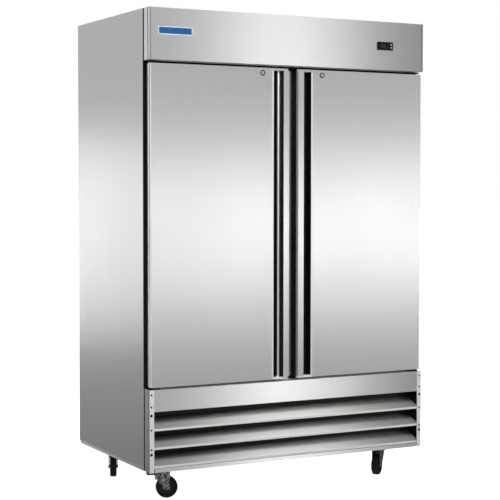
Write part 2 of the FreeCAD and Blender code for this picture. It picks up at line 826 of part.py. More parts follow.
def controller_housing():
    """Bezel on the header's face with the case behind it, pocketed for the display and buttons."""
    wide, tall = "control_width / 2", "control_height / 2"
    bezel = block(
        "control_bezel", (f"control_x - {wide}", f"control_x + {wide}"),
        (f"{FRONT} - bezel_depth", FRONT),
        (f"control_z - {tall}", f"control_z + {tall}"),
    )
    case = block(
        "control_case", ("control_x - cutout_half_width", "control_x + cutout_half_width"),
        (f"{FRONT} - 1", f"{FRONT} + 48"),
        ("control_z - cutout_half_height", "control_z + cutout_half_height"),
    )
    outside = f"{FRONT} - bezel_depth - 1"
    window = block("control_pocket", DISPLAY_X, (outside, f"{FRONT} - 2"), DISPLAY_Z)
    wells = []
    for name, offset in BUTTON_OFFSETS_Z.items():
        across, upright = button_span(offset, 0.3)
        depth = (outside, f"{BUTTON_BACK} + button_travel + 1")
        wells.append(block(f"{name}_well", across, depth, upright))
    return cut("controller_housing", join("control_body", bezel, case), window, *wells)


def controller_display():
    return block("controller_display", DISPLAY_X, (f"{FRONT} - 3.5", f"{FRONT} - 2"), DISPLAY_Z)


def controller_button(name):
    across, upright = button_span(BUTTON_OFFSETS_Z[name])
    return block(name, across, (f"{FRONT} - bezel_depth - 1", BUTTON_BACK), upright)


# ---- doors --------------------------------------------------------------------------------------

LOCK_POCKET_RADIUS = 19
LOCK_DEPTH = 26


def bush_at(side, name, radius, start, length):
    return rod(name, radius, length, (f"{HINGE_X} * {side}", HINGE_Y, start))


def door_bushes(label, side):
    """Nylon bearings pressed into the door's top and bottom, bored for the hinge pins."""
    bushes = []
    for number, start in enumerate(("door_bottom", "door_top - bush_length")):
        sleeve = bush_at(side, f"{label}_sleeve_{number}", "bush_radius", start, "bush_length")
        bore = bush_at(
            side,
            f"{label}_bore_{number}",
            "pin_radius + running_gap",
            f"{start} - 1",
            "bush_length + 2",
        )
        bushes.append(cut(f"{label}_{number}", sleeve, bore))
    return group(label, *bushes)


def bush_seats(label, side):
    """The space of both bushes, to be taken out of the pieces round them."""
    return [
        bush_at(side, f"{label}_low_seat", "bush_radius", "door_bottom - 1", "bush_length + 1"),
        bush_at(side, f"{label}_high_seat", "bush_radius", "door_top - bush_length", "bush_length + 1"),
    ]


def door_skin(label, side):
    """Outer sheet pan with end bands above and below the handle recess."""
    height = ("door_bottom", "door_top")
    shell = block(
        f"{label}_shell", mirrored(side, "grip_near", DOOR_OUTER), (DOOR_FRONT, DOOR_BACK), height,
    )
    cavity = block(
        f"{label}_cavity", mirrored(side, DOOR_CAVITY, f"{DOOR_OUTER} - gauge"),
        (f"{DOOR_FRONT} + gauge", f"{DOOR_BACK} + 1"),
        ("door_bottom + gauge", "door_top - gauge"),
    )
    recess = block(
        f"{label}_recess", mirrored(side, "grip_near - 1", "recess_far"),
        (f"{DOOR_FRONT} - 1", f"{DOOR_BACK} + 1"),
        ("door_bottom + end_band", "door_top - end_band"),
    )
    keyway = rod(
        f"{label}_keyway",
        "lock_radius + running_gap",
        6,
        (f"lock_x * {side}", f"{DOOR_FRONT} - 2", "lock_z"),
        ALONG_Y,
    )
    return cut(label, shell, cavity, recess, keyway, *bush_seats(label, side))


def door_foam(label, side):
    core = block(
        f"{label}_core", mirrored(side, DOOR_CAVITY, f"{DOOR_OUTER} - gauge"),
        (f"{DOOR_FRONT} + gauge", f"{DOOR_BACK} - gauge"),
        ("door_bottom + gauge", "door_top - gauge"),
    )
    pocket = rod(
        f"{label}_pocket", LOCK_POCKET_RADIUS, LOCK_DEPTH + 2,
        (f"lock_x * {side}", f"{DOOR_FRONT} + gauge - 0.5", "lock_z"), ALONG_Y
    )
    return cut(label, core, pocket, *bush_seats(label, side))


def door_liner(label, side):
    """Inner sheet of the door."""
    sheet_piece = block(
        f"{label}_sheet", mirrored(side, DOOR_CAVITY, f"{DOOR_OUTER} - gauge"),
        (f"{DOOR_BACK} - gauge", DOOR_BACK),
        ("door_bottom + gauge", "door_top - gauge"),
    )
    return cut(label, sheet_piece, *bush_seats(label, side))


def door_gasket(label, side):
    """Magnetic seal round the door's inner face, just off the cabinet's face."""
    near, far = "grip_near + 6", f"{HINGE_X} - 3"
    depth = (DOOR_BACK, f"{FACE} - gasket_gap")
    ring = block(f"{label}_ring", mirrored(side, near, far), depth, ("door_bottom + 4", "door_top - 4"))
    middle = block(
        f"{label}_middle", mirrored(side, f"{near} + gasket_width", f"{far} - gasket_width"),
        (f"{DOOR_BACK} - 1", f"{FACE} + 1"),
        ("door_bottom + 4 + gasket_width", "door_top - 4 - gasket_width"),
    )
    return cut(label, ring, middle)


def handle_channel(label, side):
    """Dark plastic channel of the finger recess and the door's meeting edge behind the grip."""
    height = ("door_bottom + end_band", "door_top - end_band")
    bottom = f"({DOOR_FRONT} + channel_depth)"
    grip_back = f"({FRONT} - grip_projection + grip_depth)"
    outer_wall = block(
        f"{label}_outer", mirrored(side, "recess_far - channel_gauge", "recess_far"),
        (DOOR_FRONT, f"{bottom} + 0.5"), height
    )
    floor_web = block(
        f"{label}_floor", mirrored(side, "grip_near + 1", "recess_far"), (bottom, DOOR_BACK), height,
    )
    edge = block(
        f"{label}_edge",
        mirrored(side, "grip_near + 1", "grip_near + 6"),
        (grip_back, f"{bottom} + 0.5"),
        height,
    )
    lining = block(
        f"{label}_lining", mirrored(side, GRIP_FAR, f"{GRIP_FAR} + channel_gauge"),
        (f"{FRONT} - grip_projection + 2", f"{FRONT} + bead_setback - bead_radius - 0.5"), height,
    )
    under_grip = block(
        f"{label}_under", mirrored(side, "grip_near + 1", f"{GRIP_FAR} - channel_gauge"),
        (grip_back, f"{grip_back} + 3"), height
    )
    return join(label, outer_wall, floor_web, edge, lining, under_grip)


def handle_grip(label, side):
    """Stainless box-section strip down the meeting edge, and the bead that fingertips curl round."""
    height = ("door_bottom + end_band", "door_top - end_band")
    front = f"({FRONT} - grip_projection)"
    back = f"({front} + grip_depth)"
    tube = block(f"{label}_tube", mirrored(side, "grip_near", GRIP_FAR), (front, back), height)
    inside = block(
        f"{label}_inside", mirrored(side, "grip_near + grip_gauge", f"{GRIP_FAR} - grip_gauge"),
        (f"{front} + grip_gauge", f"{back} - grip_gauge"),
        ("door_bottom + end_band - 1", "door_top - end_band + 1"),
    )
    centre = (
        f"({GRIP_FAR} + bead_radius - 0.5) * {side}",
        f"{FRONT} + bead_setback",
        "door_bottom + end_band",
    )
    bead = rod(f"{label}_bead", "bead_radius", "door_top - door_bottom - 2 * end_band", centre)
    return cut(label, join(f"{label}_outer", tube, bead), inside)


def door_lock(label, side):
    """Key plug with the cam on its inner end; the cam points to the middle when unlocked."""
    centre_x = f"lock_x * {side}"
    plug = rod(
        f"{label}_plug",
        "lock_radius",
        LOCK_DEPTH,
        (centre_x, f"{DOOR_FRONT} - 1.5", "lock_z"),
        ALONG_Y,
    )
    cam_x = mirrored(side, "lock_x - 16", "lock_x + 5")
    cam_y = (f"{DOOR_FRONT} + {LOCK_DEPTH - 5.5}", f"{DOOR_FRONT} + {LOCK_DEPTH - 2.5}")
    cam = block(f"{label}_cam", cam_x, cam_y, ("lock_z - 5", "lock_z + 5"))
    keyway = block(
        f"{label}_slot", (f"{centre_x} - 0.6", f"{centre_x} + 0.6"),
        (f"{DOOR_FRONT} - 2", f"{DOOR_FRONT} + 6"),
        ("lock_z - 4", "lock_z + 4"),
    )
    return cut(label, join(f"{label}_body", plug, cam), keyway)


def hinge_brackets():
    """Plates fixed to the cabinet's face above and below each door, with the pins on them."""
    pieces = []
    plate_gauge = 5
    for side in (LEFT, RIGHT):
        span = mirrored(side, f"{HINGE_X} - 34", f"{HINGE_X} + 12")
        for name, low, pin_start in (
            ("upper", "door_top + 5", "door_top - bush_length + 4"),
            ("lower", "door_bottom - 8", "door_bottom - 7"),
        ):
            plate = block(
                f"{name}_plate_{side}",
                span,
                (f"{HINGE_Y} - 14", FACE),
                (low, f"{low} + {plate_gauge}"),
            )
            pin = rod(
                f"{name}_pin_{side}",
                "pin_radius",
                "bush_length + 3",
                (f"{HINGE_X} * {side}", HINGE_Y, pin_start),
            )
            pieces.append(join(f"{name}_hinge_{side}", plate, pin))
    return group("hinge_brackets", *pieces)


# ---- casters ------------------------------------------------------------------------------------

# Name, side, row and the way the wheel trails, in degrees from +X.
CASTERS = {
    "front_left": (LEFT, "caster_front_y", -18),
    "front_right": (RIGHT, "caster_front_y", 220),
    "rear_left": (LEFT, "caster_rear_y", 250),
    "rear_right": (RIGHT, "caster_rear_y", 205),
}
PLATE_GAUGE = 4
PEDAL_AXIS_Z = 106
LEG_OFFSET = "(wheel_width / 2 + 2.5)"


def at_caster(thing, name):
    side, row, heading = CASTERS[name]
    return place(thing, f"caster_x * {side}", row, "0", Rotation(Vector(0, 0, 1), heading))


def caster_plates():
    """Top plates bolted under the base pan, each with its king pin."""
    plates = []
    for name, (side, row, heading) in CASTERS.items():
        x = f"caster_x * {side}"
        plate = block(
            f"{name}_plate",
            (f"{x} - 47", f"{x} + 47"),
            (f"{row} - 33", f"{row} + 33"),
            (f"pan_bottom - {PLATE_GAUGE}", "pan_bottom"),
        )
        pin = rod(f"{name}_king_pin", 6, 20, (x, row, f"pan_bottom - {PLATE_GAUGE} - 19"))
        plates.append(join(f"{name}_top", plate, pin))
    return group("caster_plates", *plates)


def caster_fork(name):
    """Swivel head and two legs round the wheel, with the axle across them."""
    label = f"caster_fork_{name}"
    outline = [
        ("-24", "fork_top"), ("40", "fork_top"), ("trail + 12", "wheel_radius - 10"),
        ("trail - 12", "wheel_radius - 10"),
        ("-24", "fork_top - 40"),
    ]
    legs = []
    for number, offset in enumerate((f"{LEG_OFFSET} + fork_gauge", f"-{LEG_OFFSET}")):
        leg = doc.addObject("PartDesign::Body", f"{label}_leg_{number}")
        pad = leg.newObject("PartDesign::Pad", f"{label}_leg_pad_{number}")
        pad.Profile = sketch_on(leg, "XZ_Plane", outline, f"{label}_leg_outline_{number}")
        bind(pad, Length="fork_gauge")
        legs.append(place(leg, "0", offset, "0"))
    half_width = f"{LEG_OFFSET} + fork_gauge"
    crown = block(
        f"{label}_crown",
        ("-28", "42"),
        (f"-({half_width})", half_width),
        ("fork_top - fork_gauge", "fork_top"),
    )
    bearing = rod(
        f"{label}_bearing", 24, f"pan_bottom - {PLATE_GAUGE} - fork_top - 0.3", ("0", "0", "fork_top"),
    )
    axle_start = ("trail", f"-({half_width}) - 3", "wheel_radius")
    axle = rod(f"{label}_axle", "axle_radius", f"2 * ({half_width}) + 6", axle_start, ALONG_Y)
    king_hole = rod(f"{label}_king_hole", "6 + running_gap", 40, ("0", "0", "fork_top - 10"))
    body = join(f"{label}_body", *legs, crown, bearing, axle)
    holes = [king_hole]
    if name.startswith("front"):
        holes.append(
            rod(f"{label}_pedal_hole", "3 + running_gap", 60, ("-14", "-30", PEDAL_AXIS_Z), ALONG_Y),
        )
    return at_caster(cut(label, body, *holes), name)


def caster_wheel(name):
    """Wheel with a rounded tread and raised hub, turned about its axle."""
    label = f"caster_wheel_{name}"
    half, edge = "wheel_width / 2", "wheel_width / 2 - 5"
    bore = "axle_radius + running_gap"
    outline = [
        (bore, f"-({half})"), ("13", f"-({half})"), ("16", f"-({half}) + 5"),
        ("wheel_radius - 16", f"-({half}) + 5"),
        ("wheel_radius - 12", f"-({half})"), ("wheel_radius - 4", f"-({half})"),
        ("wheel_radius", f"-({edge})"),
        ("wheel_radius", edge), ("wheel_radius - 4", half), ("wheel_radius - 12", half),
        ("wheel_radius - 16", f"{half} - 5"), ("16", f"{half} - 5"), ("13", half), (bore, half),
    ]
    wheel = revolved(f"{label}_turned", outline, ALONG_Y, ("trail", "0", "wheel_radius"))
    return at_caster(holder_of(label, wheel), name)


def holder_of(label, piece):
    """A piece wrapped once more, so that the caster's own placement can carry it."""
    holder = doc.addObject("Part::Compound", label)
    holder.Links = [piece]
    return holder


def brake_pedal(name):
    """Foot pedal rocking on a pin through both fork legs."""
    label = f"brake_pedal_{name}"
    arm = block(
        f"{label}_arm", ("-46", "-8"), ("-13", "13"), (f"{PEDAL_AXIS_Z} - 4", f"{PEDAL_AXIS_Z} + 4"),
    )
    toe = block(
        f"{label}_toe", ("-60", "-30"), ("-20", "20"), (f"{PEDAL_AXIS_Z} - 3", f"{PEDAL_AXIS_Z} + 5"),
    )
    pin = rod(
        f"{label}_pin",
        3,
        f"2 * ({LEG_OFFSET} + fork_gauge)",
        ("-14", f"-({LEG_OFFSET} + fork_gauge)", PEDAL_AXIS_Z),
        ALONG_Y,
    )
    return at_caster(join(label, arm, toe, pin), name)


# ---- the whole refrigerator -----------------------------------------------------------------------

nodes = {
    "side_panels": group("side_panels", side_panel("left_side", LEFT), side_panel("right_side", RIGHT)),
    "top_panel": top_panel(),
    "back_panel": back_panel(),
    "cabinet_foam": cabinet_foam(),
    "cabinet_liner": cabinet_liner(),
    "face_frame": face_frame(),
    "mullion": mullion(),
    "shelf_supports": shelf_supports(),
    "wire_shelves": wire_shelves(),
    "evaporator_cover": evaporator_cover(),
    "evaporator_coil": evaporator_coil(),
    "evaporator_fan_left": evaporator_fan("evaporator_fan_left", LEFT),
    "evaporator_fan_right": evaporator_fan("evaporator_fan_right", RIGHT),
    "fan_motors": fan_motors(),
    "interior_light": interior_light(),
    "condensing_base": condensing_base(),
    "condenser_coil": condenser_coil(),
    "condenser_shroud": condenser_shroud(),
    "condenser_fan": fan_blades(
        "condenser_fan", "condenser_fan_radius", 24, CONDENSER_HUB, 5,
        ("0", CONDENSER_FAN_Y, "condenser_z")
    ),
    "compressor": compressor(),
    "base_pan": base_pan(),
    "power_gland": power_gland(),
    "sill_panel": sill_panel(),
    "louvre_slats": louvre_slats(),
    "grille_brackets": grille_brackets(),
    "grille_screws": grille_screws(),
    "header_panel": header_panel(),
    "name_plate": name_plate(),
    "controller_housing": controller_housing(),
    "controller_display": controller_display(),
    "hinge_brackets": hinge_brackets(),
    "caster_plates": caster_plates(),
}
for name in BUTTON_OFFSETS_Z:
    nodes[name] = controller_button(name)
for word, side in (("left", LEFT), ("right", RIGHT)):
    nodes[f"{word}_door_skin"] = door_skin(f"{word}_door_skin", side)
    nodes[f"{word}_door_foam"] = door_foam(f"{word}_door_foam", side)
    nodes[f"{word}_door_liner"] = door_liner(f"{word}_door_liner", side)
    nodes[f"{word}_door_gasket"] = door_gasket(f"{word}_door_gasket", side)
    nodes[f"{word}_door_bushes"] = door_bushes(f"{word}_door_bushes", side)
    nodes[f"{word}_handle_channel"] = handle_channel(f"{word}_handle_channel", side)
    nodes[f"{word}_handle_grip"] = handle_grip(f"{word}_handle_grip", side)
    nodes[f"{word}_door_lock"] = door_lock(f"{word}_door_lock", side)
for name in CASTERS:
    nodes[f"caster_fork_{name}"] = caster_fork(name)
    nodes[f"caster_wheel_{name}"] = caster_wheel(name)
    if name.startswith("front"):
        nodes[f"brake_pedal_{name}"] = brake_pedal(name)

doc.recompute()

for thing in doc.Objects:
    bad = [state for state in thing.State if state in ("Invalid", "Error")]
    if bad:
        raise RuntimeError(f"{thing.Label} did not build: {bad}")

os.makedirs("parts", exist_ok=True)
for name, thing in nodes.items():
    shape = thing.Shape
    if shape.isNull() or not shape.isValid():
        raise RuntimeError(f"{name} has no valid shape")
    thing.Label = name
    shape.exportStep(os.path.join("parts", f"{name}.step"))
    print(f"{name}: {len(shape.Solids)} solids, {shape.Volume / 1000:.1f} cm3")
print(len(nodes), "nodes")
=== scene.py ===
import json
import math

import bmesh
import bpy
from mathutils import Matrix, Vector


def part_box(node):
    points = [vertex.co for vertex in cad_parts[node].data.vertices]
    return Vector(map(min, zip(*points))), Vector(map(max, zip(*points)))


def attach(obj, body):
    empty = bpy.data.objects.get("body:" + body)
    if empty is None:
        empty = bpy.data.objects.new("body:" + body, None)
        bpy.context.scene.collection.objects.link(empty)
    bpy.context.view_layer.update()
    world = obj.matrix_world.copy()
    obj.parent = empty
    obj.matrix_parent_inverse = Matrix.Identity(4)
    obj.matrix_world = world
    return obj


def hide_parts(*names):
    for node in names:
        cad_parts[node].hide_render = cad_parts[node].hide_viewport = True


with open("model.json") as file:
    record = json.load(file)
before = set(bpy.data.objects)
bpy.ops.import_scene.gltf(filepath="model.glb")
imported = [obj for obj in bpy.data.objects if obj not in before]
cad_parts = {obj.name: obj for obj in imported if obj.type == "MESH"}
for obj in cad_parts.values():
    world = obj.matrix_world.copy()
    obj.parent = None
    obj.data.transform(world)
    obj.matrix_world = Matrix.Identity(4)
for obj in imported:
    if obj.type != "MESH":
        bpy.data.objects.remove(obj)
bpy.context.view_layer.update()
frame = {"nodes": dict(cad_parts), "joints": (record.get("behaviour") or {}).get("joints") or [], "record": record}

# Two-door reach-in refrigerator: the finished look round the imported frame. Metres, Z up.

MM = 0.001
LEFT, RIGHT = -1, 1
BODY_OF = {n: body for body, members in frame["record"]["behaviour"]["bodies"].items() for n in members}
SLOT_OF = {part["node"]: part["material_slot"] for part in frame["record"]["subparts"]}
X, Y, Z = Vector((1, 0, 0)), Vector((0, 1, 0)), Vector((0, 0, 1))

# ---- camera and light ----------------------------------------------------------------------------

CAMERA_PLACE = (-3.059172, -5.784783, 1.350251)
CAMERA_YAW, CAMERA_PITCH, CAMERA_ROLL = 27.877, -2.573, 0.05
CAMERA_LENS = 101.49


def make_camera():
    data = bpy.data.cameras.new("camera")
    data.lens = CAMERA_LENS
    data.sensor_width = 36
    data.clip_end = 200
    camera = bpy.data.objects.new("camera", data)
    bpy.context.scene.collection.objects.link(camera)
    yaw, pitch = math.radians(CAMERA_YAW), math.radians(CAMERA_PITCH)
    ahead = Vector((math.sin(yaw) * math.cos(pitch), math.cos(yaw) * math.cos(pitch), math.sin(pitch)))
    turn = ahead.to_track_quat("-Z", "Y").to_matrix() @ Matrix.Rotation(math.radians(CAMERA_ROLL), 3, "Z")
    camera.matrix_world = Matrix.Translation(CAMERA_PLACE) @ turn.to_4x4()
    bpy.context.scene.camera = camera


def softbox(name, place, target, width, height, power):
    data = bpy.data.lights.new(name, "AREA")
    data.shape = "ELLIPSE"
    data.size, data.size_y = width, height
    data.energy = power
    lamp = bpy.data.objects.new(name, data)
    bpy.context.scene.collection.objects.link(lamp)
    lamp.location = place
    lamp.rotation_euler = (Vector(target) - Vector(place)).to_track_quat("-Z", "Z").to_euler()
    lamp.visible_camera = False


# Height above the horizon (sine) and brightness of the studio's walls, in front of the cabinet and behind it.
WALLS_AHEAD = (
    (-1.0, 0.40), (-0.46, 0.34), (-0.34, 0.08), (-0.24, 0.34), (-0.14, 0.68),
    (0.0, 0.67), (0.12, 0.47), (0.28, 0.10), (0.60, 0.09), (1.0, 0.4),
)
WALLS_BEHIND = (
    (-1.0, 0.40), (-0.42, 0.32), (-0.30, 0.10), (-0.20, 0.14), (-0.14, 0.30), (-0.08, 0.50),
    (0.10, 0.50), (0.60, 0.6), (1.0, 1.0),
)
# Name, place, target, width, height and power of each light.
SOFTBOXES = (
    ("softbox_front", (2.95, -5.75, 0.98), (0, -0.4, 1.1), 0.75, 1.65, 40.5),
    ("softbox_side", (-2.95, 6.0, 0.89), (-0.69, 0, 1.1), 0.9, 2.1, 46),
    ("softbox_high", (-0.8, -4.0, 4.2), (0, -0.4, 0.3), 2.2, 2.0, 225),
    ("strip_left", (-5.2, -1.6, 1.3), (0, 0, 1.1), 0.5, 2.6, 9),
    ("strip_right", (5.2, -1.2, 1.3), (0, 0, 1.1), 0.5, 2.6, 3),
)


def wall_ramp(nodes, links, height, stops):
    ramp = nodes.new("ShaderNodeValToRGB")
    elements = ramp.color_ramp.elements
    for number, (level, value) in enumerate(stops):
        stop = elements[number] if number < 2 else elements.new(0.5)
        stop.position = (level + 1) / 2
        stop.color = (value, value, value, 1)
    links.new(height, ramp.inputs["Fac"])
    return ramp.outputs["Color"]


def world_range(nodes, links, value, low, high, start, end, kind="SMOOTHSTEP"):
    made = nodes.new("ShaderNodeMapRange")
    made.interpolation_type = kind
    for socket, number in (("From Min", start), ("From Max", end), ("To Min", low), ("To Max", high)):
        made.inputs[socket].default_value = number
    links.new(value, made.inputs["Value"])
    return made.outputs["Result"]


def make_studio():
    world = bpy.data.worlds.new("studio")
    bpy.context.scene.world = world
    world.use_nodes = True
    nodes, links = world.node_tree.nodes, world.node_tree.links
    nodes.clear()
    output = nodes.new("ShaderNodeOutputWorld")
    walls, backdrop = nodes.new("ShaderNodeBackground"), nodes.new("ShaderNodeBackground")
    where, split = nodes.new("ShaderNodeTexCoord"), nodes.new("ShaderNodeSeparateXYZ")
    mix, rays = nodes.new("ShaderNodeMixShader"), nodes.new("ShaderNodeLightPath")
    links.new(where.outputs["Generated"], split.inputs[0])
    height = world_range(nodes, links, split.outputs["Z"], 0, 1, -1, 1, "LINEAR")
    ahead = wall_ramp(nodes, links, height, WALLS_AHEAD)
    behind = wall_ramp(nodes, links, height, WALLS_BEHIND)
    blend = nodes.new("ShaderNodeMix")
    blend.data_type = "RGBA"
    links.new(world_range(nodes, links, split.outputs["Y"], 0, 1, -0.4, 0.4), blend.inputs[0])
    links.new(ahead, blend.inputs[6])
    links.new(behind, blend.inputs[7])
    links.new(blend.outputs[2], walls.inputs["Color"])
    links.new(world_range(nodes, links, split.outputs["X"], 1, 0.55, 0.44, 0.60), walls.inputs["Strength"])
    backdrop.inputs["Color"].default_value = (1, 1, 1, 1)
    links.new(rays.outputs["Is Camera Ray"], mix.inputs["Fac"])
    links.new(walls.outputs[0], mix.inputs[1])
    links.new(backdrop.outputs[0], mix.inputs[2])
    links.new(mix.outputs[0], output.inputs["Surface"])

    for values in SOFTBOXES:
        softbox(*values)


# ---- materials ------------------------------------------------------------------------------------


class Shader:
    """A material with one Principled shader and a few helpers that wire nodes to it."""

    def __init__(self, name, **values):
        self.material = bpy.data.materials.new(name)
        self.material.use_nodes = True
        self.nodes, self.links = self.material.node_tree.nodes, self.material.node_tree.links
        self.bsdf = self.nodes["Principled BSDF"]
        for socket, value in values.items():
            self.bsdf.inputs[socket.replace("_", " ")].default_value = value

    @classmethod
    def of(cls, material):
        shader = cls.__new__(cls)
        shader.material = material
        shader.nodes, shader.links = material.node_tree.nodes, material.node_tree.links
        shader.bsdf = shader.nodes["Principled BSDF"]
        return shader

    def node(self, kind, **inputs):
        made = self.nodes.new("ShaderNode" + kind)
        for socket, value in inputs.items():
            target = made.inputs[socket.replace("_", " ")]
            if isinstance(value, bpy.types.NodeSocket):
                self.links.new(value, target)
            else:
                target.default_value = value
        return made

    def place(self, output, scale):
        """Coordinates in metres times a scale: "Object", or "UV" for a surface laid out along its grain."""
        where = self.node("TexCoord")
        mapping = self.node("Mapping", Vector=where.outputs[output])
        mapping.inputs["Scale"].default_value = scale
        return mapping.outputs[0]

    def noise(self, vector, scale=1.0, detail=3.0, roughness=0.5):
        made = self.node("TexNoise", Vector=vector, Scale=scale, Detail=detail, Roughness=roughness)
        return made.outputs["Fac"]

    def ranged(self, value, low, high, start=0.25, end=0.75, kind="LINEAR"):
        made = self.node("MapRange", Value=value)
        made.interpolation_type = kind
        for socket, number in (("From Min", start), ("From Max", end), ("To Min", low), ("To Max", high)):
            made.inputs[socket].default_value = number
        return made.outputs["Result"]

    def mixed(self, factor, first, second):
        made = self.nodes.new("ShaderNodeMix")
        made.data_type = "RGBA"
        for socket, value in ((made.inputs[0], factor), (made.inputs[6], first), (made.inputs[7], second)):
            if isinstance(value, bpy.types.NodeSocket):
                self.links.new(value, socket)
            else:
                socket.default_value = value
        return made.outputs[2]

    def math(self, operation, first, second):
        made = self.nodes.new("ShaderNodeMath")
        made.operation = operation
        for socket, value in zip(made.inputs, (first, second)):
            if isinstance(value, bpy.types.NodeSocket):
                self.links.new(value, socket)
            else:
                socket.default_value = value
        return made.outputs[0]

    def bump(self, height, distance, strength=1.0):
        made = self.node("Bump", Height=height, Distance=distance, Strength=strength)
        self.links.new(made.outputs["Normal"], self.bsdf.inputs["Normal"])

    def wire(self, socket, value):
        self.links.new(value, self.bsdf.inputs[socket])


def grey(value, warmth=0.0):
    return (value * (1 + warmth), value, value * (1 - warmth), 1)


def brushed_steel(name, value=0.72, warmth=0.0, rough=0.40, metal=1.0):
    """Stainless sheet with a fine grain along V, faint smudges and brighter rubbed streaks."""
    shader = Shader(name, Metallic=metal, Anisotropic=0.96)
    fine = shader.noise(shader.place("UV", (2600, 9, 1)), detail=2)
    broad = shader.noise(shader.place("UV", (160, 1.2, 1)), detail=3)
    smudge = shader.noise(shader.place("Object", (3.1, 3.1, 2.3)), detail=4, roughness=0.6)
    grain = shader.math("ADD", shader.math("MULTIPLY", fine, 0.6), shader.math("MULTIPLY", broad, 0.4))
    dull, clean = grey(value * 0.95, warmth), grey(value * 1.04, warmth)
    shader.wire("Base Color", shader.mixed(shader.ranged(grain, 0, 1), dull, clean))
    along_grain = shader.ranged(grain, rough - 0.025, rough + 0.025)
    shader.wire("Roughness", shader.math("ADD", along_grain, shader.ranged(smudge, -0.012, 0.012)))
    shader.bump(fine, 0.00002, 0.25)
    tangent = shader.nodes.new("ShaderNodeTangent")
    tangent.direction_type = "UV_MAP"
    tangent.uv_map = GRAIN
    shader.wire("Tangent", tangent.outputs[0])
    return shader.material


def slat_steel(name):
    """Steel with painted shade: darker towards each end, and a painted shadow towards the back of each slat."""
    material = brushed_steel(name, 0.95, 0.014, 0.46, 0.5)
    shader = Shader.of(material)
    steel = shader.bsdf.inputs["Base Color"].links[0].from_socket
    where = shader.node("SeparateXYZ", Vector=shader.place("Object", (1, 1, 1)))
    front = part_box("louvre_slats")[0].y
    cloud = shader.noise(shader.place("Object", (14, 60, 60)), detail=4)
    spread = shader.ranged(where.outputs["X"], 0.010, -0.012, -0.66, 0.66)
    ragged = shader.math("ADD", where.outputs["Y"], shader.ranged(cloud, -0.004, 0.004))
    depth = shader.math("ADD", ragged, spread)
    # Painted shadow: near black towards the back of each slat, as if shaded by the slat above, with a ragged edge.
    painted_shadow = shader.ranged(depth, 0, 1, front + 0.036, front + 0.096, "SMOOTHSTEP")
    # Painted shade: darker towards each end of the slats, standing in for the sheen falling off there.
    end_falloff = shader.ranged(shader.math("ABSOLUTE", where.outputs["X"], 0.0), 0, 0.66, 0.06, 0.64, "SMOOTHSTEP")
    painted_end_shade = shader.mixed(end_falloff, steel, grey(0.05, 0.03))
    shader.wire("Base Color", shader.mixed(painted_shadow, painted_end_shade, grey(0.012)))
    return material


def galvanised(name):
    """Dull zinc-coated sheet with its spangle."""
    shader = Shader(name, Metallic=1.0)
    cells = shader.node("TexVoronoi", Vector=shader.place("Object", (70, 70, 70)), Scale=1.0)
    cloud = shader.noise(shader.place("Object", (9, 9, 9)), detail=5)
    tone = shader.mixed(cells.outputs["Color"], grey(0.50, -0.01), grey(0.62, -0.02))
    shader.wire("Base Color", shader.mixed(shader.ranged(cloud, 0, 0.5), tone, grey(0.46)))
    shader.wire("Roughness", shader.ranged(cloud, 0.38, 0.56))
    shader.bump(cells.outputs["Distance"], 0.00004, 0.3)
    return shader.material


def moulded(name, colour, roughness=0.4, pebble=0.00004, size=900, mottle=0.12, specular=0.5):
    """Moulded plastic, rubber or paint: a fine pebble, uneven gloss and a little dust."""
    shader = Shader(name)
    shader.bsdf.inputs["Specular IOR Level"].default_value = specular
    grain = shader.noise(shader.place("Object", (size, size, size)), detail=2)
    cloud = shader.noise(shader.place("Object", (11, 11, 11)), detail=5, roughness=0.6)
    dust = 0.032 * mottle
    dark = tuple(c * (1 - mottle) for c in colour) + (1,)
    light = tuple(min(1, c * (1 + mottle) + dust) for c in colour) + (1,)
    shader.wire("Base Color", shader.mixed(shader.ranged(cloud, 0, 1), dark, light))
    shader.wire("Roughness", shader.ranged(cloud, roughness - 0.06, roughness + 0.08))
    shader.bump(grain, pebble, 0.5)
    return shader.material


def plated(name, value, roughness, warmth=0.0, stain=0.7):
    """Bright zinc or chrome plate with slight stains."""
    shader = Shader(name, Metallic=1.0)
    cloud = shader.noise(shader.place("Object", (45, 45, 45)), detail=6, roughness=0.65)
    bright, stained = grey(value, warmth), grey(value * stain, warmth)
    shader.wire("Base Color", shader.mixed(shader.ranged(cloud, 0, 1, 0.35, 0.7), bright, stained))
    shader.wire("Roughness", shader.ranged(cloud, roughness - 0.05, roughness + 0.12))
    shader.bump(cloud, 0.00005, 0.3)
    return shader.material


def mottled_zinc(name):
    """Stamped steel under an uneven black zinc coat, rubbed bright in patches."""
    shader = Shader(name, Metallic=1.0)
    patch = shader.noise(shader.place("Object", (130, 130, 130)), detail=5, roughness=0.7)
    fine = shader.noise(shader.place("Object", (420, 420, 420)), detail=3)
    shader.wire("Base Color", shader.mixed(shader.ranged(patch, 0, 1, 0.47, 0.62), grey(0.04), grey(0.62)))
    shader.wire("Roughness", shader.ranged(fine, 0.26, 0.48))
    shader.bump(patch, 0.0006, 0.5)
    return shader.material


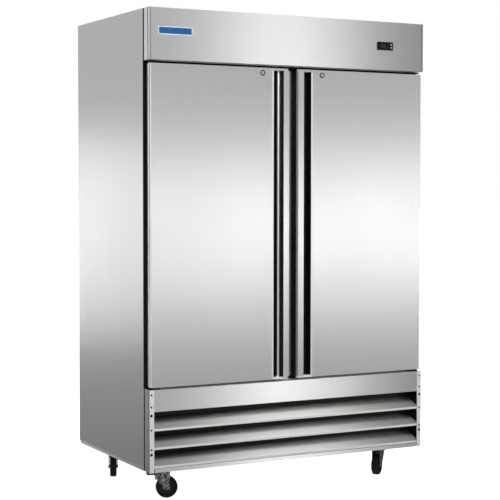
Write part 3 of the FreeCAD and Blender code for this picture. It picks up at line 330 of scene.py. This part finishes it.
GRAIN = "grain"
MATERIALS = {
    "stainless": brushed_steel("brushed_steel"),
    "stainless_level": brushed_steel("brushed_steel_level", 0.695),
    "stainless_warm": brushed_steel("brushed_steel_warm", 0.74, 0.012, 0.42),
    "slat_steel": slat_steel("brushed_steel_painted_shade"),
    "galvanised": galvanised("galvanised_sheet"),
    "foam": moulded("sealed_foam", (0.80, 0.72, 0.48), 0.7, 0.0004, 260),
    "liner": moulded("white_liner", (0.66, 0.67, 0.68), 0.32, 0.0001, 420, 0.02),
    "black_plastic": moulded("black_plastic", (0.0028, 0.0024, 0.0018), 0.50, 0.00005, 900, 0.2, 0.05),
    "gasket_rubber": moulded("gasket_rubber", (0.007, 0.007, 0.007), 0.6, 0.00005, 800, 0.25, 0.15),
    "blue_plate": moulded("blue_enamel", (0.006, 0.048, 0.135), 0.30, 0.00001, 400, 0.06, 0.2),
    "pale_enamel": moulded("pale_enamel", (0.34, 0.42, 0.52), 0.32, 0.00001, 400, 0.03, 0.2),
    "display_lens": moulded("display_lens", (0.002, 0.0024, 0.002), 0.16, 0.000005, 300, 0.2, 0.1),
    "segment": moulded("unlit_segment", (0.06, 0.065, 0.055), 0.3, 0.00001, 400, 0.1, 0.2),
    "fin_aluminium": plated("fin_aluminium", 0.72, 0.34),
    "shelf_wire": moulded("shelf_epoxy", (0.80, 0.80, 0.78), 0.35, 0.00006, 500, 0.03),
    "black_enamel": moulded("black_enamel", (0.014, 0.014, 0.015), 0.34, 0.00006, 500, 0.2),
    "lamp_lens": moulded("opal_lens", (0.88, 0.89, 0.88), 0.2, 0.00003, 600, 0.02),
    "zinc_plate": plated("zinc_plate", 0.62, 0.30, -0.01),
    "dark_zinc": mottled_zinc("dark_zinc"),
    "black_screw": plated("black_oxide", 0.014, 0.42),
    # Darker copies of the steel as painted shade: on the header's and base pan's returns and the doors' outer
    # returns.
    "shaded_return_steel": brushed_steel("brushed_return_painted_shade", 0.40, 0.0, 0.44),
    "bracket_steel": brushed_steel("brushed_bracket", 0.62, 0.0, 0.44),
    "shaded_door_return": brushed_steel("brushed_door_return_painted_shade", 0.52, 0.0, 0.44),
    "shaded_pan_side": brushed_steel("brushed_pan_side_painted_shade", 0.20, 0.0, 0.44),
    "nylon": moulded("nylon", (0.85, 0.84, 0.78), 0.45),
    "wheel_rubber": moulded("wheel_rubber", (0.0020, 0.0017, 0.0017), 0.50, 0.00008, 700, 0.3, 0.07),
    "wheel_hub": moulded("wheel_hub", (0.004, 0.0036, 0.0034), 0.30, 0.00004, 700, 0.2, 0.22),
    # Flat black: black washers, and painted shade in gaps, recesses, joints and undersides.
    "seam": moulded("dark_seam", (0.002, 0.002, 0.002), 0.8, 0.00004, 800, 0.2, 0.05),
    "lock_ring": moulded("lock_ring", (0.004, 0.004, 0.004), 0.34, 0.00002, 900, 0.2, 0.2),
    "lock_plug": plated("lock_plug", 0.45, 0.34),
    "button_cap": moulded("button_cap", (0.07, 0.07, 0.068), 0.4, 0.00003, 800, 0.05, 0.3),
    "icon": moulded("printed_icon", (0.62, 0.62, 0.60), 0.4, 0.00001, 800, 0.03, 0.2),
    # A lighter copy of the steel as painted highlight, on the brackets' flanges, the slats' lips and the recess's
    # edge.
    "painted_highlight_steel": plated("painted_highlight_steel", 0.78, 0.50, 0.006, 0.92),
    "bead_steel": plated("bead_steel", 0.92, 0.36, 0.0, 0.92),
}


# ---- mesh helpers ----------------------------------------------------------------------------------


def welded(node):
    """The CAD node's mesh with its split corners joined and its flat faces made whole."""
    bm = bmesh.new()
    bm.from_mesh(frame["nodes"][node].data)
    bmesh.ops.remove_doubles(bm, verts=bm.verts, dist=1e-6)
    flat = math.radians(0.2)
    bmesh.ops.dissolve_limit(
        bm, angle_limit=flat, use_dissolve_boundaries=False, verts=bm.verts, edges=bm.edges,
    )
    bm.normal_update()
    return bm


def side_face(face):
    """Whether a face looks along X."""
    return abs(face.normal.x) > 0.7


def reach_from(face, edge):
    """How far a face spreads from one of its edges."""
    start = edge.verts[0].co
    along = (edge.verts[1].co - start).normalized()
    spread = 0
    for vert in face.verts:
        offset = vert.co - start
        spread = max(spread, (offset - along * offset.dot(along)).length)
    return spread


def roundable(bm, radius):
    """Convex corners whose two faces are wide enough to take a rounding."""
    found = []
    for edge in bm.edges:
        if len(edge.link_faces) != 2 or not edge.is_convex:
            continue
        if edge.calc_face_angle() < math.radians(40) or edge.calc_length() < 2.5 * radius:
            continue
        if min(reach_from(face, edge) for face in edge.link_faces) > 2.2 * radius:
            found.append(edge)
    return found


def lay_grain(bm, grain, side_grain=None):
    """UV in metres: V runs along the grain and U across it."""
    layer = bm.loops.layers.uv.get(GRAIN) or bm.loops.layers.uv.new(GRAIN)
    for face in bm.faces:
        wanted = side_grain if side_grain and side_face(face) else grain
        along = wanted - face.normal * wanted.dot(face.normal)
        if along.length < 0.3:
            spare = X if abs(face.normal.x) < 0.7 else Y
            along = spare - face.normal * spare.dot(face.normal)
        along.normalize()
        across = along.cross(face.normal)
        for loop in face.loops:
            loop[layer].uv = (loop.vert.co.dot(across), loop.vert.co.dot(along))


def shade(bm, sharp=38):
    for face in bm.faces:
        face.smooth = True
    for edge in bm.edges:
        edge.smooth = len(edge.link_faces) == 2 and edge.calc_face_angle() < math.radians(sharp)


def finish_piece(bm, name, body, materials, nodes=(), grain=Z, side_grain=None):
    """Makes the object, sets its materials, puts it on the body it rides on and hides the nodes it stands for."""
    bm.normal_update()
    shade(bm)
    lay_grain(bm, grain, side_grain)
    mesh = bpy.data.meshes.new(name)
    bm.to_mesh(mesh)
    bm.free()
    for key in materials:
        mesh.materials.append(MATERIALS[key])
    piece = bpy.data.objects.new(name, mesh)
    bpy.context.scene.collection.objects.link(piece)
    modifier = piece.modifiers.new("even_normals", "WEIGHTED_NORMAL")
    modifier.keep_sharp = True
    modifier.weight = 100
    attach(piece, body)
    if nodes:
        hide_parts(*nodes)


def refine(node, radius=0.5, grain=Z, materials=None, segments=3, paint=None, splits=(), side_grain=None):
    """The CAD node with rounded corners, a surface laid along its grain, and a material for each face."""
    bm = welded(node)
    for point, direction in splits:
        parts = list(bm.verts) + list(bm.edges) + list(bm.faces)
        bmesh.ops.bisect_plane(bm, geom=parts, dist=1e-7, plane_co=point, plane_no=direction)
    if radius:
        edges = roundable(bm, radius * MM)
        if edges:
            bmesh.ops.bevel(
                bm, geom=edges, offset=radius * MM, offset_type="OFFSET", segments=segments, profile=0.5,
                affect="EDGES", clamp_overlap=True, material=-1,
            )
    bm.normal_update()
    for face in bm.faces:
        face.material_index = paint(face) if paint else 0
    slot = SLOT_OF[node]
    finish_piece(
        bm, f"{node}_finished", BODY_OF[node], materials or [slot], [node], grain, side_grain,
    )


def box_into(bm, low, high, index=0):
    """Adds a box between two corners and returns its new edges."""
    low, high = Vector(low), Vector(high)
    made = bmesh.ops.create_cube(bm, size=1.0)
    size = high - low
    for vert in made["verts"]:
        vert.co = Vector((vert.co.x * size.x, vert.co.y * size.y, vert.co.z * size.z)) + (low + high) / 2
    faces = {face for vert in made["verts"] for face in vert.link_faces}
    for face in faces:
        face.material_index = index
    return list({edge for vert in made["verts"] for edge in vert.link_edges})


def rounded_box(bm, low, high, radius, index=0, segments=3):
    edges = box_into(bm, low, high, index)
    bmesh.ops.bevel(
        bm, geom=edges, offset=radius, offset_type="OFFSET", segments=segments, profile=0.5, affect="EDGES",
        clamp_overlap=True, material=-1,
    )


def placed_box(bm, low, high, radius, turn, centre, index=0):
    """A rounded box built upright, then turned and carried to a centre."""
    others = set(bm.verts)
    rounded_box(bm, low, high, radius, index)
    for vert in bm.verts:
        if vert not in others:
            vert.co = centre + turn @ vert.co


def facing(axis):
    """The turn that brings +Z to an axis."""
    return Vector(axis).to_track_quat("Z", "Y").to_matrix()


def lathe(bm, outline, centre, axis, steps=48, index=0, closed=False):
    """Turns (radius, height) points about an axis through a centre."""
    turn, centre = facing(axis), Vector(centre)
    rings = []
    for radius, height in outline:
        if radius < 1e-7:
            rings.append([bm.verts.new(centre + turn @ Vector((0, 0, height)))])
            continue
        ring = []
        for step in range(steps):
            angle = 2 * math.pi * step / steps
            spot = Vector((radius * math.cos(angle), radius * math.sin(angle), height))
            ring.append(bm.verts.new(centre + turn @ spot))
        rings.append(ring)
    pairs = list(zip(rings, rings[1:]))
    if closed:
        pairs.append((rings[-1], rings[0]))
    for lower, upper in pairs:
        for step in range(steps):
            after = (step + 1) % steps
            corners = [lower[n % len(lower)] for n in (step, after)]
            corners += [upper[n % len(upper)] for n in (after, step)]
            ring = list(dict.fromkeys(corners))
            if len(ring) > 2:
                bm.faces.new(ring).material_index = index


def islands(bm):
    """The separate solids of a mesh, as lists of vertices."""
    left, found = set(bm.verts), []
    for seed in bm.verts:
        if seed not in left:
            continue
        left.remove(seed)
        group, stack = [seed], [seed]
        while stack:
            for edge in stack.pop().link_edges:
                for vert in edge.verts:
                    if vert in left:
                        left.remove(vert)
                        group.append(vert)
                        stack.append(vert)
        found.append(group)
    return found


def box_of(verts):
    low = Vector(min(v.co[i] for v in verts) for i in range(3))
    high = Vector(max(v.co[i] for v in verts) for i in range(3))
    return low, high


def screw_into(bm, centre, axis, radius, height):
    """A pan head with a cross recess half its height deep."""
    turn, centre = facing(axis), Vector(centre)
    steps, rings = 32, []
    shares = (1.0, 0.97, 0.86, 0.68, 0.52, 0.40, 0.26, 0.12)
    for share in shares:
        ring = []
        for step in range(steps):
            angle = 2 * math.pi * step / steps
            cross = max(abs(math.cos(angle)), abs(math.sin(angle))) ** 14
            dome = height * (1 - share ** 3.0) ** 0.5 if share < 1 else 0
            inside = share < 0.22 + 0.38 * cross
            up = dome - (height * 0.5 if inside else 0)
            across = radius * share
            spot = Vector((across * math.cos(angle), across * math.sin(angle), up))
            ring.append(bm.verts.new(centre + turn @ spot))
        rings.append(ring)
    for lower, upper in zip(rings, rings[1:]):
        for step in range(steps):
            after = (step + 1) % steps
            bm.faces.new((lower[step], lower[after], upper[after], upper[step]))
    bm.faces.new(rings[-1])
    bm.faces.new(list(reversed(rings[0])))


# ---- sheet metal and plain CAD pieces ----------------------------------------------------------------


# Where the doors' materials change: the depth past which faces are black, distances from the
# middle of the meeting edge, bead and recess, the recess's top, and the outer return's place and depth.
GRIP_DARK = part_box("left_handle_grip")[0].y + 19 * MM
MEETING_EDGE = -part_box("left_handle_grip")[1].x
BEAD_OUTER, BEAD_WIDTH = -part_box("left_handle_grip")[0].x, 17.2 * MM
GRIP_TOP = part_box("left_handle_channel")[1].z
RECESS_EDGE, ROLLED = -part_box("left_handle_channel")[0].x + 1 * MM, 5 * MM
OUTER_SIDE, DOOR_RETURN_DEPTH = 600 * MM, 53 * MM


def grip_paint(face):
    """Steel with a polished bead; black on the bead's inner side and on the side faces inboard of the bead, those
    at the meeting edge only past a depth.
    """
    centre = face.calc_center_median()
    if abs(centre.x) > BEAD_OUTER - BEAD_WIDTH and centre.y > GRIP_DARK - 1 * MM:
        return 1 if face.normal.x * centre.x < 0 and abs(face.normal.x) > 0.55 else 2
    at_edge = abs(abs(centre.x) - MEETING_EDGE) < 1 * MM
    black_wall = abs(centre.x) < BEAD_OUTER - 15 * MM and (not at_edge or centre.y > GRIP_DARK)
    return 1 if side_face(face) and black_wall else 0


def skin_paint(face):
    """Steel with painted shade on the outer return and a painted highlight down the recess's rolled edge; black
    inside.
    """
    centre = face.calc_center_median()
    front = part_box("left_door_skin")[0].y
    inside = side_face(face) and abs(abs(centre.x) - MEETING_EDGE) < 1 * MM and centre.y > GRIP_DARK
    if inside or centre.y > front + DOOR_RETURN_DEPTH:
        return 1
    # Painted shade: a darker steel on the outer return.
    if side_face(face) and abs(centre.x) > OUTER_SIDE:
        return 2
    # Painted highlight: a lighter steel down the recess's rolled edge.
    rolled = abs(centre.x) < RECESS_EDGE + ROLLED and centre.y < front + 1 * MM
    return 3 if rolled and centre.z < GRIP_TOP else 0


def bracket_paint(face):
    """Front flange in a painted highlight, inner faces black as painted shade."""
    centre = face.calc_center_median()
    if face.normal.y < -0.7:
        return 1
    return 2 if face.normal.x * centre.x < -0.0001 or face.normal.y > 0.7 else 0


def return_paint(face):
    """The returns at each end take the second material, a darker copy of the steel as painted shade."""
    return 1 if side_face(face) else 0


def slat_paint(face):
    """Painted highlight on the lip and painted shade on the top; black underneath and at the back as painted
    shade.
    """
    if face.normal.z < -0.5 or face.normal.y > 0.5:
        return 2
    return 1 if face.normal.z > 0.5 else 0


def lock_paint(face):
    """The keyway's inside faces are painted black as shade."""
    low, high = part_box("left_door_lock" if face.calc_center_median().x < 0 else "right_door_lock")
    radius = (high.z - low.z) / 2
    middle = Vector((high.x - radius if high.x > 0 else low.x + radius, 0, (high.z + low.z) / 2))
    centre = face.calc_center_median()
    near = math.hypot(centre.x - middle.x, centre.z - middle.z) < radius * 0.7
    front = face.normal.y < -0.9 and centre.y < low.y + 0.1 * MM
    return 1 if near and not front else 0


make_camera()
make_studio()

for node, radius in (("side_panels", 0.8), ("mullion", 1.5), ("face_frame", 0.3), ("shelf_supports", 1.0)):
    refine(node, radius)
for node in ("left_handle_grip", "right_handle_grip"):
    refine(
        node, 2.6, materials=["stainless_warm", "black_plastic", "bead_steel"], paint=grip_paint,
        splits=[((0, GRIP_DARK, 0), Y)],
    )
for node in ("left_door_skin", "right_door_skin"):
    line = (RECESS_EDGE + ROLLED) * (LEFT if node.startswith("left") else RIGHT)
    refine(
        node, 2.2, materials=["stainless", "seam", "shaded_door_return", "painted_highlight_steel"], paint=skin_paint,
        splits=[((0, GRIP_DARK, 0), Y), ((line, 0, 0), X)], side_grain=Y,
    )
refine("grille_brackets", 0.6, materials=["bracket_steel", "painted_highlight_steel", "seam"], paint=bracket_paint)
# The header's and base pan's side faces take a darker steel as painted shade.
for node, radius, face_steel, shaded_end_steel in (
    ("header_panel", 1.6, "stainless_level", "shaded_return_steel"), ("base_pan", 0.5, "stainless", "shaded_pan_side"),
):
    refine(node, radius, grain=X, materials=[face_steel, shaded_end_steel], paint=return_paint)
refine("sill_panel", 1.6, grain=X, materials=["stainless_level"])
refine("louvre_slats", 0.6, grain=X, materials=["painted_highlight_steel", "slat_steel", "seam"], paint=slat_paint)
# Nodes that keep their record's material, with the rounding of their corners in millimetres.
for node, radius in (
    ("top_panel", 0.4), ("back_panel", 0.4), ("cabinet_foam", 0), ("cabinet_liner", 0.4),
    ("evaporator_cover", 0.4), ("evaporator_coil", 0), ("fan_motors", 1.5), ("interior_light", 6.0),
    ("condensing_base", 0.8), ("condenser_coil", 0), ("condenser_shroud", 0.8), ("power_gland", 1.0),
    ("controller_housing", 2.0), ("caster_plates", 0.8), ("left_door_foam", 0), ("right_door_foam", 0),
    ("left_door_liner", 0.3), ("right_door_liner", 0.3), ("left_door_bushes", 0.4),
    ("right_door_bushes", 0.4), ("left_handle_channel", 0.8), ("right_handle_channel", 0.8),
    ("left_door_gasket", 1.6), ("right_door_gasket", 1.6), ("wire_shelves", 0), ("evaporator_fan_left", 0.4),
    ("evaporator_fan_right", 0.4), ("condenser_fan", 0.4), ("compressor", 3.0),
):
    refine(node, radius)
for node in ("left_door_lock", "right_door_lock"):
    refine(node, 0.5, materials=["lock_plug", "seam"], paint=lock_paint)
refine("hinge_brackets", 0.8, materials=["black_screw"])
for node in ("brake_pedal_front_left", "brake_pedal_front_right"):
    refine(node, 1.5)

# ---- strips of painted shadow and shade, and screws -----------------------------------------------


CHEEK = 1.2 * MM


def boxes_piece(name, body, boxes, material, radius=0.0):
    bm = bmesh.new()
    for low, high in boxes:
        if radius:
            rounded_box(bm, low, high, radius)
        else:
            box_into(bm, low, high)
    finish_piece(bm, name, body, [material])


def both_sides(near, far, y, z):
    """Boxes at both sides for a span of distances from the middle."""
    return [((-far, y[0], z[0]), (-near, y[1], z[1])), ((near, y[0], z[0]), (far, y[1], z[1]))]


def make_painted_shade_frame():
    """Black sheet round the door opening, outside the gaskets, laid on the frame's face as painted shade."""
    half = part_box("side_panels")[1].x
    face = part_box("side_panels")[0].y
    bottom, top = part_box("sill_panel")[1].z + 0.5 * MM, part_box("header_panel")[0].z - 0.3 * MM
    seal_low, seal_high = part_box("left_door_gasket")
    outer, inner = half - 0.4 * MM, -seal_low.x + 1 * MM
    y = (face - 0.32 * MM, face)
    boxes = both_sides(inner, outer, y, (bottom, top))
    boxes.append(((-inner, y[0], bottom), (inner, y[1], seal_low.z - 1 * MM)))
    boxes.append(((-inner, y[0], seal_high.z + 1 * MM), (inner, y[1], top)))
    boxes_piece("painted_shade_frame", "cabinet", boxes, "seam")


def make_seams():
    """Black strips as painted shadow at the side panels' joints and down the header's face, painted shade on the
    cheeks beside the slats and inside the side panels' lower edges, and painted shadow along the doors' fold
    lines.
    """
    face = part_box("side_panels")[0].y
    boxes = []
    for node, fold in (("header_panel", 8 * MM), ("grille_brackets", 2 * MM)):
        low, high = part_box(node)
        leg = high.x - 3 * MM
        z = (low.z + 1 * MM, high.z - 1 * MM)
        # Painted shadow: black strips in the gap behind each return, and behind each flange's lip.
        boxes += both_sides(leg - 2 * MM, leg + 0.6 * MM, (high.y - 5 * MM, face), z)
        flange = (low.y + fold + 3.5 * MM, low.y + fold + 11 * MM)
        boxes += both_sides(leg - 0.5 * MM, leg + 0.5 * MM, flange, z)
    # Painted shadow: a thin black line down the header's face near each end, where the hem steps back.
    header_low, header_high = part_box("header_panel")
    edge = header_high.x - 9 * MM
    boxes += both_sides(
        edge - 0.9 * MM, edge + 0.9 * MM, (header_low.y - 0.06 * MM, header_low.y + 0.2 * MM),
        (header_low.z + 2 * MM, header_high.z - 2 * MM),
    )
    boxes_piece("painted_shadow_strips", "cabinet", boxes, "seam")
    # Painted shade: black cheeks beside the slats and black strips inside the side panels' lower edges.
    slat_low, slat_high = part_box("louvre_slats")
    cheek = slat_high.x + 0.4 * MM
    y = (slat_low.y + 4 * MM, slat_high.y + 20 * MM)
    z = (slat_low.z + 2 * MM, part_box("sill_panel")[1].z - 3 * MM)
    boxes = both_sides(cheek, cheek + CHEEK, y, z)
    side_low, side_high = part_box("side_panels")
    inside = side_high.x - 1.2 * MM
    y = (side_low.y + 2 * MM, side_high.y - 9 * MM)
    z = (side_low.z - 12 * MM, side_low.z + 14 * MM)
    boxes += both_sides(inside - CHEEK, inside, y, z)
    boxes_piece("grille_cheeks_painted_shade", "cabinet", boxes, "seam", 0.4 * MM)
    # Painted shadow: black lines along each door's outer side at two fold lines.
    for body, side in (("left_door", LEFT), ("right_door", RIGHT)):
        low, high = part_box(f"{body}_skin")
        outer = high.x if side > 0 else low.x
        z = (low.z + 3 * MM, high.z - 3 * MM)
        spans = [(low.y + 14.5 * MM, low.y + 19 * MM), (high.y - 5 * MM, high.y - 0.4 * MM)]
        boxes = [((outer - 0.3 * MM, a, z[0]), (outer + 0.25 * MM, b, z[1])) for a, b in spans]
        boxes_piece(f"{body}_fold_shadows", body, boxes, "seam")


def make_screws():
    """The grille's screws with cross recesses and washers, and small ones in the brackets' sides."""
    bm = bmesh.new()
    source = welded("grille_screws")
    for verts in islands(source):
        low, high = box_of(verts)
        middle = (low + high) / 2
        radius = (high.z - low.z) / 2
        screw_into(bm, (middle.x, high.y, middle.z), -Y, radius, high.y - low.y)
        rim = radius * 1.35
        washer = [(0, -0.1 * MM), (rim, -0.1 * MM), (rim, 0.35 * MM), (0, 0.35 * MM)]
        lathe(bm, washer, (middle.x, high.y, middle.z), -Y, 32, 1)
    source.free()
    low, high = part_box("grille_brackets")
    for side in (LEFT, RIGHT):
        x, y = side * (high.x - 3 * MM), (low.y + high.y) / 2
        for z in (high.z - 18 * MM, (low.z + high.z) / 2, low.z + 18 * MM):
            screw_into(bm, (x, y, z), X * side, 2.6 * MM, 1.2 * MM)
    node = "grille_screws"
    finish_piece(bm, "grille_screw_heads", BODY_OF[node], ["black_screw", "seam"], [node])


# Half width, bottom and top.
VENT_SCREEN = (345 * MM, 185 * MM, 425 * MM)


def make_rear_details():
    """A screen behind the vent slots, a black sheet behind the front slats as painted shade, and a row of screws
    round the rear sheet.
    """
    low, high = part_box("back_panel")
    half, bottom, top = VENT_SCREEN
    bm = bmesh.new()
    rounded_box(bm, (-half, low.y - 2.2 * MM, bottom), (half, low.y - 0.1 * MM, top), 0.8 * MM)
    finish_piece(bm, "vent_screen", "cabinet", ["seam"])
    back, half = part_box("louvre_slats")[1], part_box("louvre_slats")[1].x - 2 * MM
    bottom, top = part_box("base_pan")[1].z + 1 * MM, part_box("sill_panel")[1].z - 4 * MM
    # Painted shade: a black sheet behind the front slats.
    bm = bmesh.new()
    rounded_box(bm, (-half, back.y + 1 * MM, bottom), (half, back.y + 2.5 * MM, top), 0.5 * MM)
    finish_piece(bm, "grille_shade_sheet", "cabinet", ["gasket_rubber"])
    bm = bmesh.new()
    inset, gaps = 30 * MM, 8
    rows = [low.z + inset + n * (high.z - low.z - 2 * inset) / gaps for n in range(gaps + 1)]
    places = [(side * (high.x - 14 * MM), z) for side in (LEFT, RIGHT) for z in rows]
    places += [(x * MM, z) for x in (-450, -225, 0, 225, 450) for z in (rows[0] - 8 * MM, rows[-1] + 8 * MM)]
    for x, z in places:
        screw_into(bm, (x, high.y, z), Y, 4 * MM, 1.8 * MM)
    finish_piece(bm, "rear_screws", "cabinet", ["zinc_plate"])


LOCK_COLLAR = [(7.4, -0.2), (7.4, 1.9), (8.6, 2.6), (10.6, 2.4), (12.0, 1.4), (12.4, -0.2)]


def scaled(outline):
    """A lathe outline given in millimetres."""
    return [(radius * MM, height * MM) for radius, height in outline]


def make_lock_collars():
    for body in ("left_door", "right_door"):
        low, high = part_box(f"{body}_lock")
        radius = (high.z - low.z) / 2
        x = low.x + radius if low.x < 0 else high.x - radius
        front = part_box(f"{body}_skin")[0].y
        bm = bmesh.new()
        lathe(bm, scaled(LOCK_COLLAR), (x, front, (low.z + high.z) / 2), -Y, closed=True)
        finish_piece(bm, f"{body}_lock_collar", body, ["lock_ring"])


def make_door_panels():
    """Raised panel of each door's inner face, inside its gasket."""
    inner_edge, outer_margin, end_margin, raised = 112 * MM, 60 * MM, 55 * MM, 4.5 * MM
    for body, side in (("left_door", LEFT), ("right_door", RIGHT)):
        low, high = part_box(f"{body}_liner")
        x = sorted((side * inner_edge, side * (max(abs(low.x), high.x) - outer_margin)))
        bottom, top = low.z + end_margin, high.z - end_margin
        bm = bmesh.new()
        rounded_box(bm, (x[0], high.y - 0.5 * MM, bottom), (x[1], high.y + raised, top), 3 * MM, 0, 4)
        finish_piece(bm, f"{body}_inner_panel", body, ["liner"])


make_door_panels()
make_painted_shade_frame()
make_seams()
make_screws()
make_rear_details()
make_lock_collars()

# ---- name plate and controller -----------------------------------------------------------------------


def make_name_plate():
    """Plain blue enamel plate with a pale border; it carries no name."""
    low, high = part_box("name_plate")
    bm = bmesh.new()
    rounded_box(bm, low, high, 0.7 * MM, 1)
    border = 3.2 * MM
    face_low = (low.x + border, low.y - 0.45 * MM, low.z + border)
    face_high = (high.x - border, low.y + 0.5 * MM, high.z - border)
    rounded_box(bm, face_low, face_high, 0.4 * MM, 0)
    node = "name_plate"
    finish_piece(bm, f"{node}_finished", BODY_OF[node], ["blue_plate", "pale_enamel"], [node])


def make_display():
    """Smoked lens with the unlit segments of two digits and two small marks."""
    low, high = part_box("controller_display")
    bm = bmesh.new()
    rounded_box(bm, low, high, 0.4 * MM)
    height, width, bar = 15 * MM, 8 * MM, 1.3 * MM
    middle = (low.z + high.z) / 2

    def mark(x, z, half_width, half_height):
        corner = (x - half_width, low.y - 0.08 * MM, z - half_height)
        rounded_box(bm, corner, (x + half_width, low.y + 0.1 * MM, z + half_height), 0.03 * MM, 1)

    for digit in (-1, 1):
        x = (low.x + high.x) / 2 + digit * 7.5 * MM - 3 * MM
        for z in (middle - height / 2, middle, middle + height / 2):
            mark(x, z, width / 2 - bar, bar / 2)
        for side in (-1, 1):
            for half in (-1, 1):
                mark(x + side * width / 2, middle + half * height / 4, bar / 2, height / 4 - bar)
    for z in (middle - 6 * MM, middle + 6 * MM):
        mark(high.x - 7 * MM, z, 1.6 * MM, 1.2 * MM)
    node = "controller_display"
    finish_piece(bm, f"{node}_finished", BODY_OF[node], ["display_lens", "segment"], [node])


def make_buttons():
    """Caps with a raised arrow, up and down."""
    for node, way in (("button_up", 1), ("button_down", -1)):
        low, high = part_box(node)
        bm = bmesh.new()
        rounded_box(bm, low + Vector((0, 0.4 * MM, 0)), high, 0.9 * MM)
        x, z = (low.x + high.x) / 2, (low.z + high.z) / 2
        corners = [(-2.6, -1.5 * way), (2.6, -1.5 * way), (0, 2.0 * way)]
        front = [bm.verts.new((x + a * MM, low.y + 0.05 * MM, z + b * MM)) for a, b in corners]
        back = [bm.verts.new((x + a * MM, low.y + 0.9 * MM, z + b * MM)) for a, b in corners]
        made = [bm.faces.new(front), bm.faces.new(list(reversed(back)))]
        for n in range(3):
            m = (n + 1) % 3
            made.append(bm.faces.new((front[n], back[n], back[m], front[m])))
        for face in made:
            face.material_index = 1
        bmesh.ops.recalc_face_normals(bm, faces=made)
        finish_piece(bm, f"{node}_finished", BODY_OF[node], ["button_cap", "icon"], [node])


make_name_plate()
make_display()
make_buttons()

# ---- casters ------------------------------------------------------------------------------------------


# Outlines of radius and height in millimetres: the wheel's tyre and hub and its axle nut about the
# axle, the swivel's race and cup and a plate bolt about the post, from the floor up.
TYRE = [
    (34, -12), (36, -13.6), (43.5, -14.4), (46.4, -12.6), (47.5, -8.5),
    (47.5, 8.5), (46.4, 12.6), (43.5, 14.4), (36, 13.6), (34, 12),
]
HUB = [
    (5.2, -14.6), (11.5, -14.6), (12.5, -13.6), (14.5, -9), (16, -7), (31.5, -7.5), (34.3, -11.6),
    (34.3, 11.6), (31.5, 7.5), (16, 7), (14.5, 9), (12.5, 13.6), (11.5, 14.6), (5.2, 14.6),
]
SPOKES = 6
RACE = [(15, 133.2), (26, 133.2), (27.5, 135), (27.5, 139.5), (26, 141.2), (15, 141.2)]
CUP = [(0, 117), (12, 117), (14.5, 119), (15, 122), (15, 133), (0, 133)]
NUT = [(0, -0.6), (6.6, -0.6), (7.4, -1.2), (7.4, -5.2), (0, -5.2)]
BOLT = [(0, 137.2), (4.6, 137.2), (5.4, 137.9), (5.4, 142.2), (0, 142.2)]
BOLT_X, BOLT_Y = 36 * MM, 23 * MM


def joint_of(child):
    """The joint that carries a body."""
    return next(joint for joint in frame["joints"] if joint["child"] == child)


def make_caster(place):
    """Wheel, fork, bearing, axle nuts and plate bolts of one caster, at its joints in the frame."""
    roll, swivel = joint_of(f"{place}_wheel"), joint_of(f"{place}_swivel")
    axis = Vector(roll["axis"]).normalized()
    wheel_low, wheel_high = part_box(f"caster_wheel_{place}")
    centre = (wheel_low + wheel_high) / 2
    bm = bmesh.new()
    lathe(bm, scaled(TYRE), centre, axis, 96, 0, closed=True)
    lathe(bm, scaled(HUB), centre, axis, 64, 1, closed=True)
    turn = facing(axis)
    spoke_low, spoke_high = Vector((14, -1.8, -10.5)) * MM, Vector((33, 1.8, 10.5)) * MM
    for number in range(SPOKES):
        spin = Matrix.Rotation(number * 2 * math.pi / SPOKES, 3, "Z")
        placed_box(bm, spoke_low, spoke_high, 0.6 * MM, turn @ spin, centre, 1)
    bmesh.ops.recalc_face_normals(bm, faces=bm.faces)
    finish_piece(
        bm, f"caster_wheel_{place}_finished", f"{place}_wheel", ["wheel_rubber", "wheel_hub"],
        [f"caster_wheel_{place}"],
    )

    refine(f"caster_fork_{place}", 0.9, materials=["dark_zinc"])
    reach = max((vert.co - centre).dot(axis) for vert in frame["nodes"][f"caster_fork_{place}"].data.vertices)
    post = Vector(swivel["pos_m"])
    bm = bmesh.new()
    lathe(bm, scaled(RACE), (post.x, post.y, 0), Z, 64, 0, closed=True)
    lathe(bm, scaled(CUP), (post.x, post.y, 0), Z, 48, 0)
    trail = (centre - Vector((post.x, post.y, centre.z))).normalized()
    frame_turn = Matrix((trail, axis, Z)).transposed()
    foot = Vector((post.x, post.y, 0))
    web_low, web_high = Vector((-22, -17, 80)) * MM, Vector((-19.5, 17, 133)) * MM
    placed_box(bm, web_low, web_high, 0.8 * MM, frame_turn, foot)
    for way in (1, -1):
        lathe(bm, [(radius, reach + height) for radius, height in scaled(NUT)], centre, axis * way, 6, 1)
    bmesh.ops.recalc_face_normals(bm, faces=bm.faces)
    finish_piece(bm, f"caster_{place}_bearing", f"{place}_swivel", ["dark_zinc", "zinc_plate"])

    bm = bmesh.new()
    for x in (-BOLT_X, BOLT_X):
        for y in (-BOLT_Y, BOLT_Y):
            lathe(bm, scaled(BOLT), (post.x + x, post.y + y, 0), Z, 6)
    bmesh.ops.recalc_face_normals(bm, faces=bm.faces)
    finish_piece(bm, f"caster_{place}_bolts", "cabinet", ["zinc_plate"])


for place in ("front_left", "front_right", "rear_left", "rear_right"):
    make_caster(place)

# ---- floor -------------------------------------------------------------------------------------------


FLOOR_HALF = 60


def make_floor():
    """Pale floor that meets the white backdrop and leaves only a faint shadow."""
    bm = bmesh.new()
    bmesh.ops.create_grid(bm, x_segments=8, y_segments=8, size=FLOOR_HALF)
    mesh = bpy.data.meshes.new("floor")
    bm.to_mesh(mesh)
    bm.free()
    shader = Shader("pale_floor", Roughness=0.9)
    tone = shader.noise(shader.place("Object", (0.6, 0.6, 0.6)), detail=3)
    shader.wire("Base Color", shader.mixed(shader.ranged(tone, 0, 1), grey(0.80), grey(0.82)))
    shader.bsdf.inputs["Emission Color"].default_value = (1, 1, 1, 1)
    shader.bsdf.inputs["Emission Strength"].default_value = 0.9
    mesh.materials.append(shader.material)
    floor = bpy.data.objects.new("floor", mesh)
    bpy.context.scene.collection.objects.link(floor)
    floor.visible_glossy = False


make_floor()
bpy.context.scene.view_settings.view_transform = "Standard"
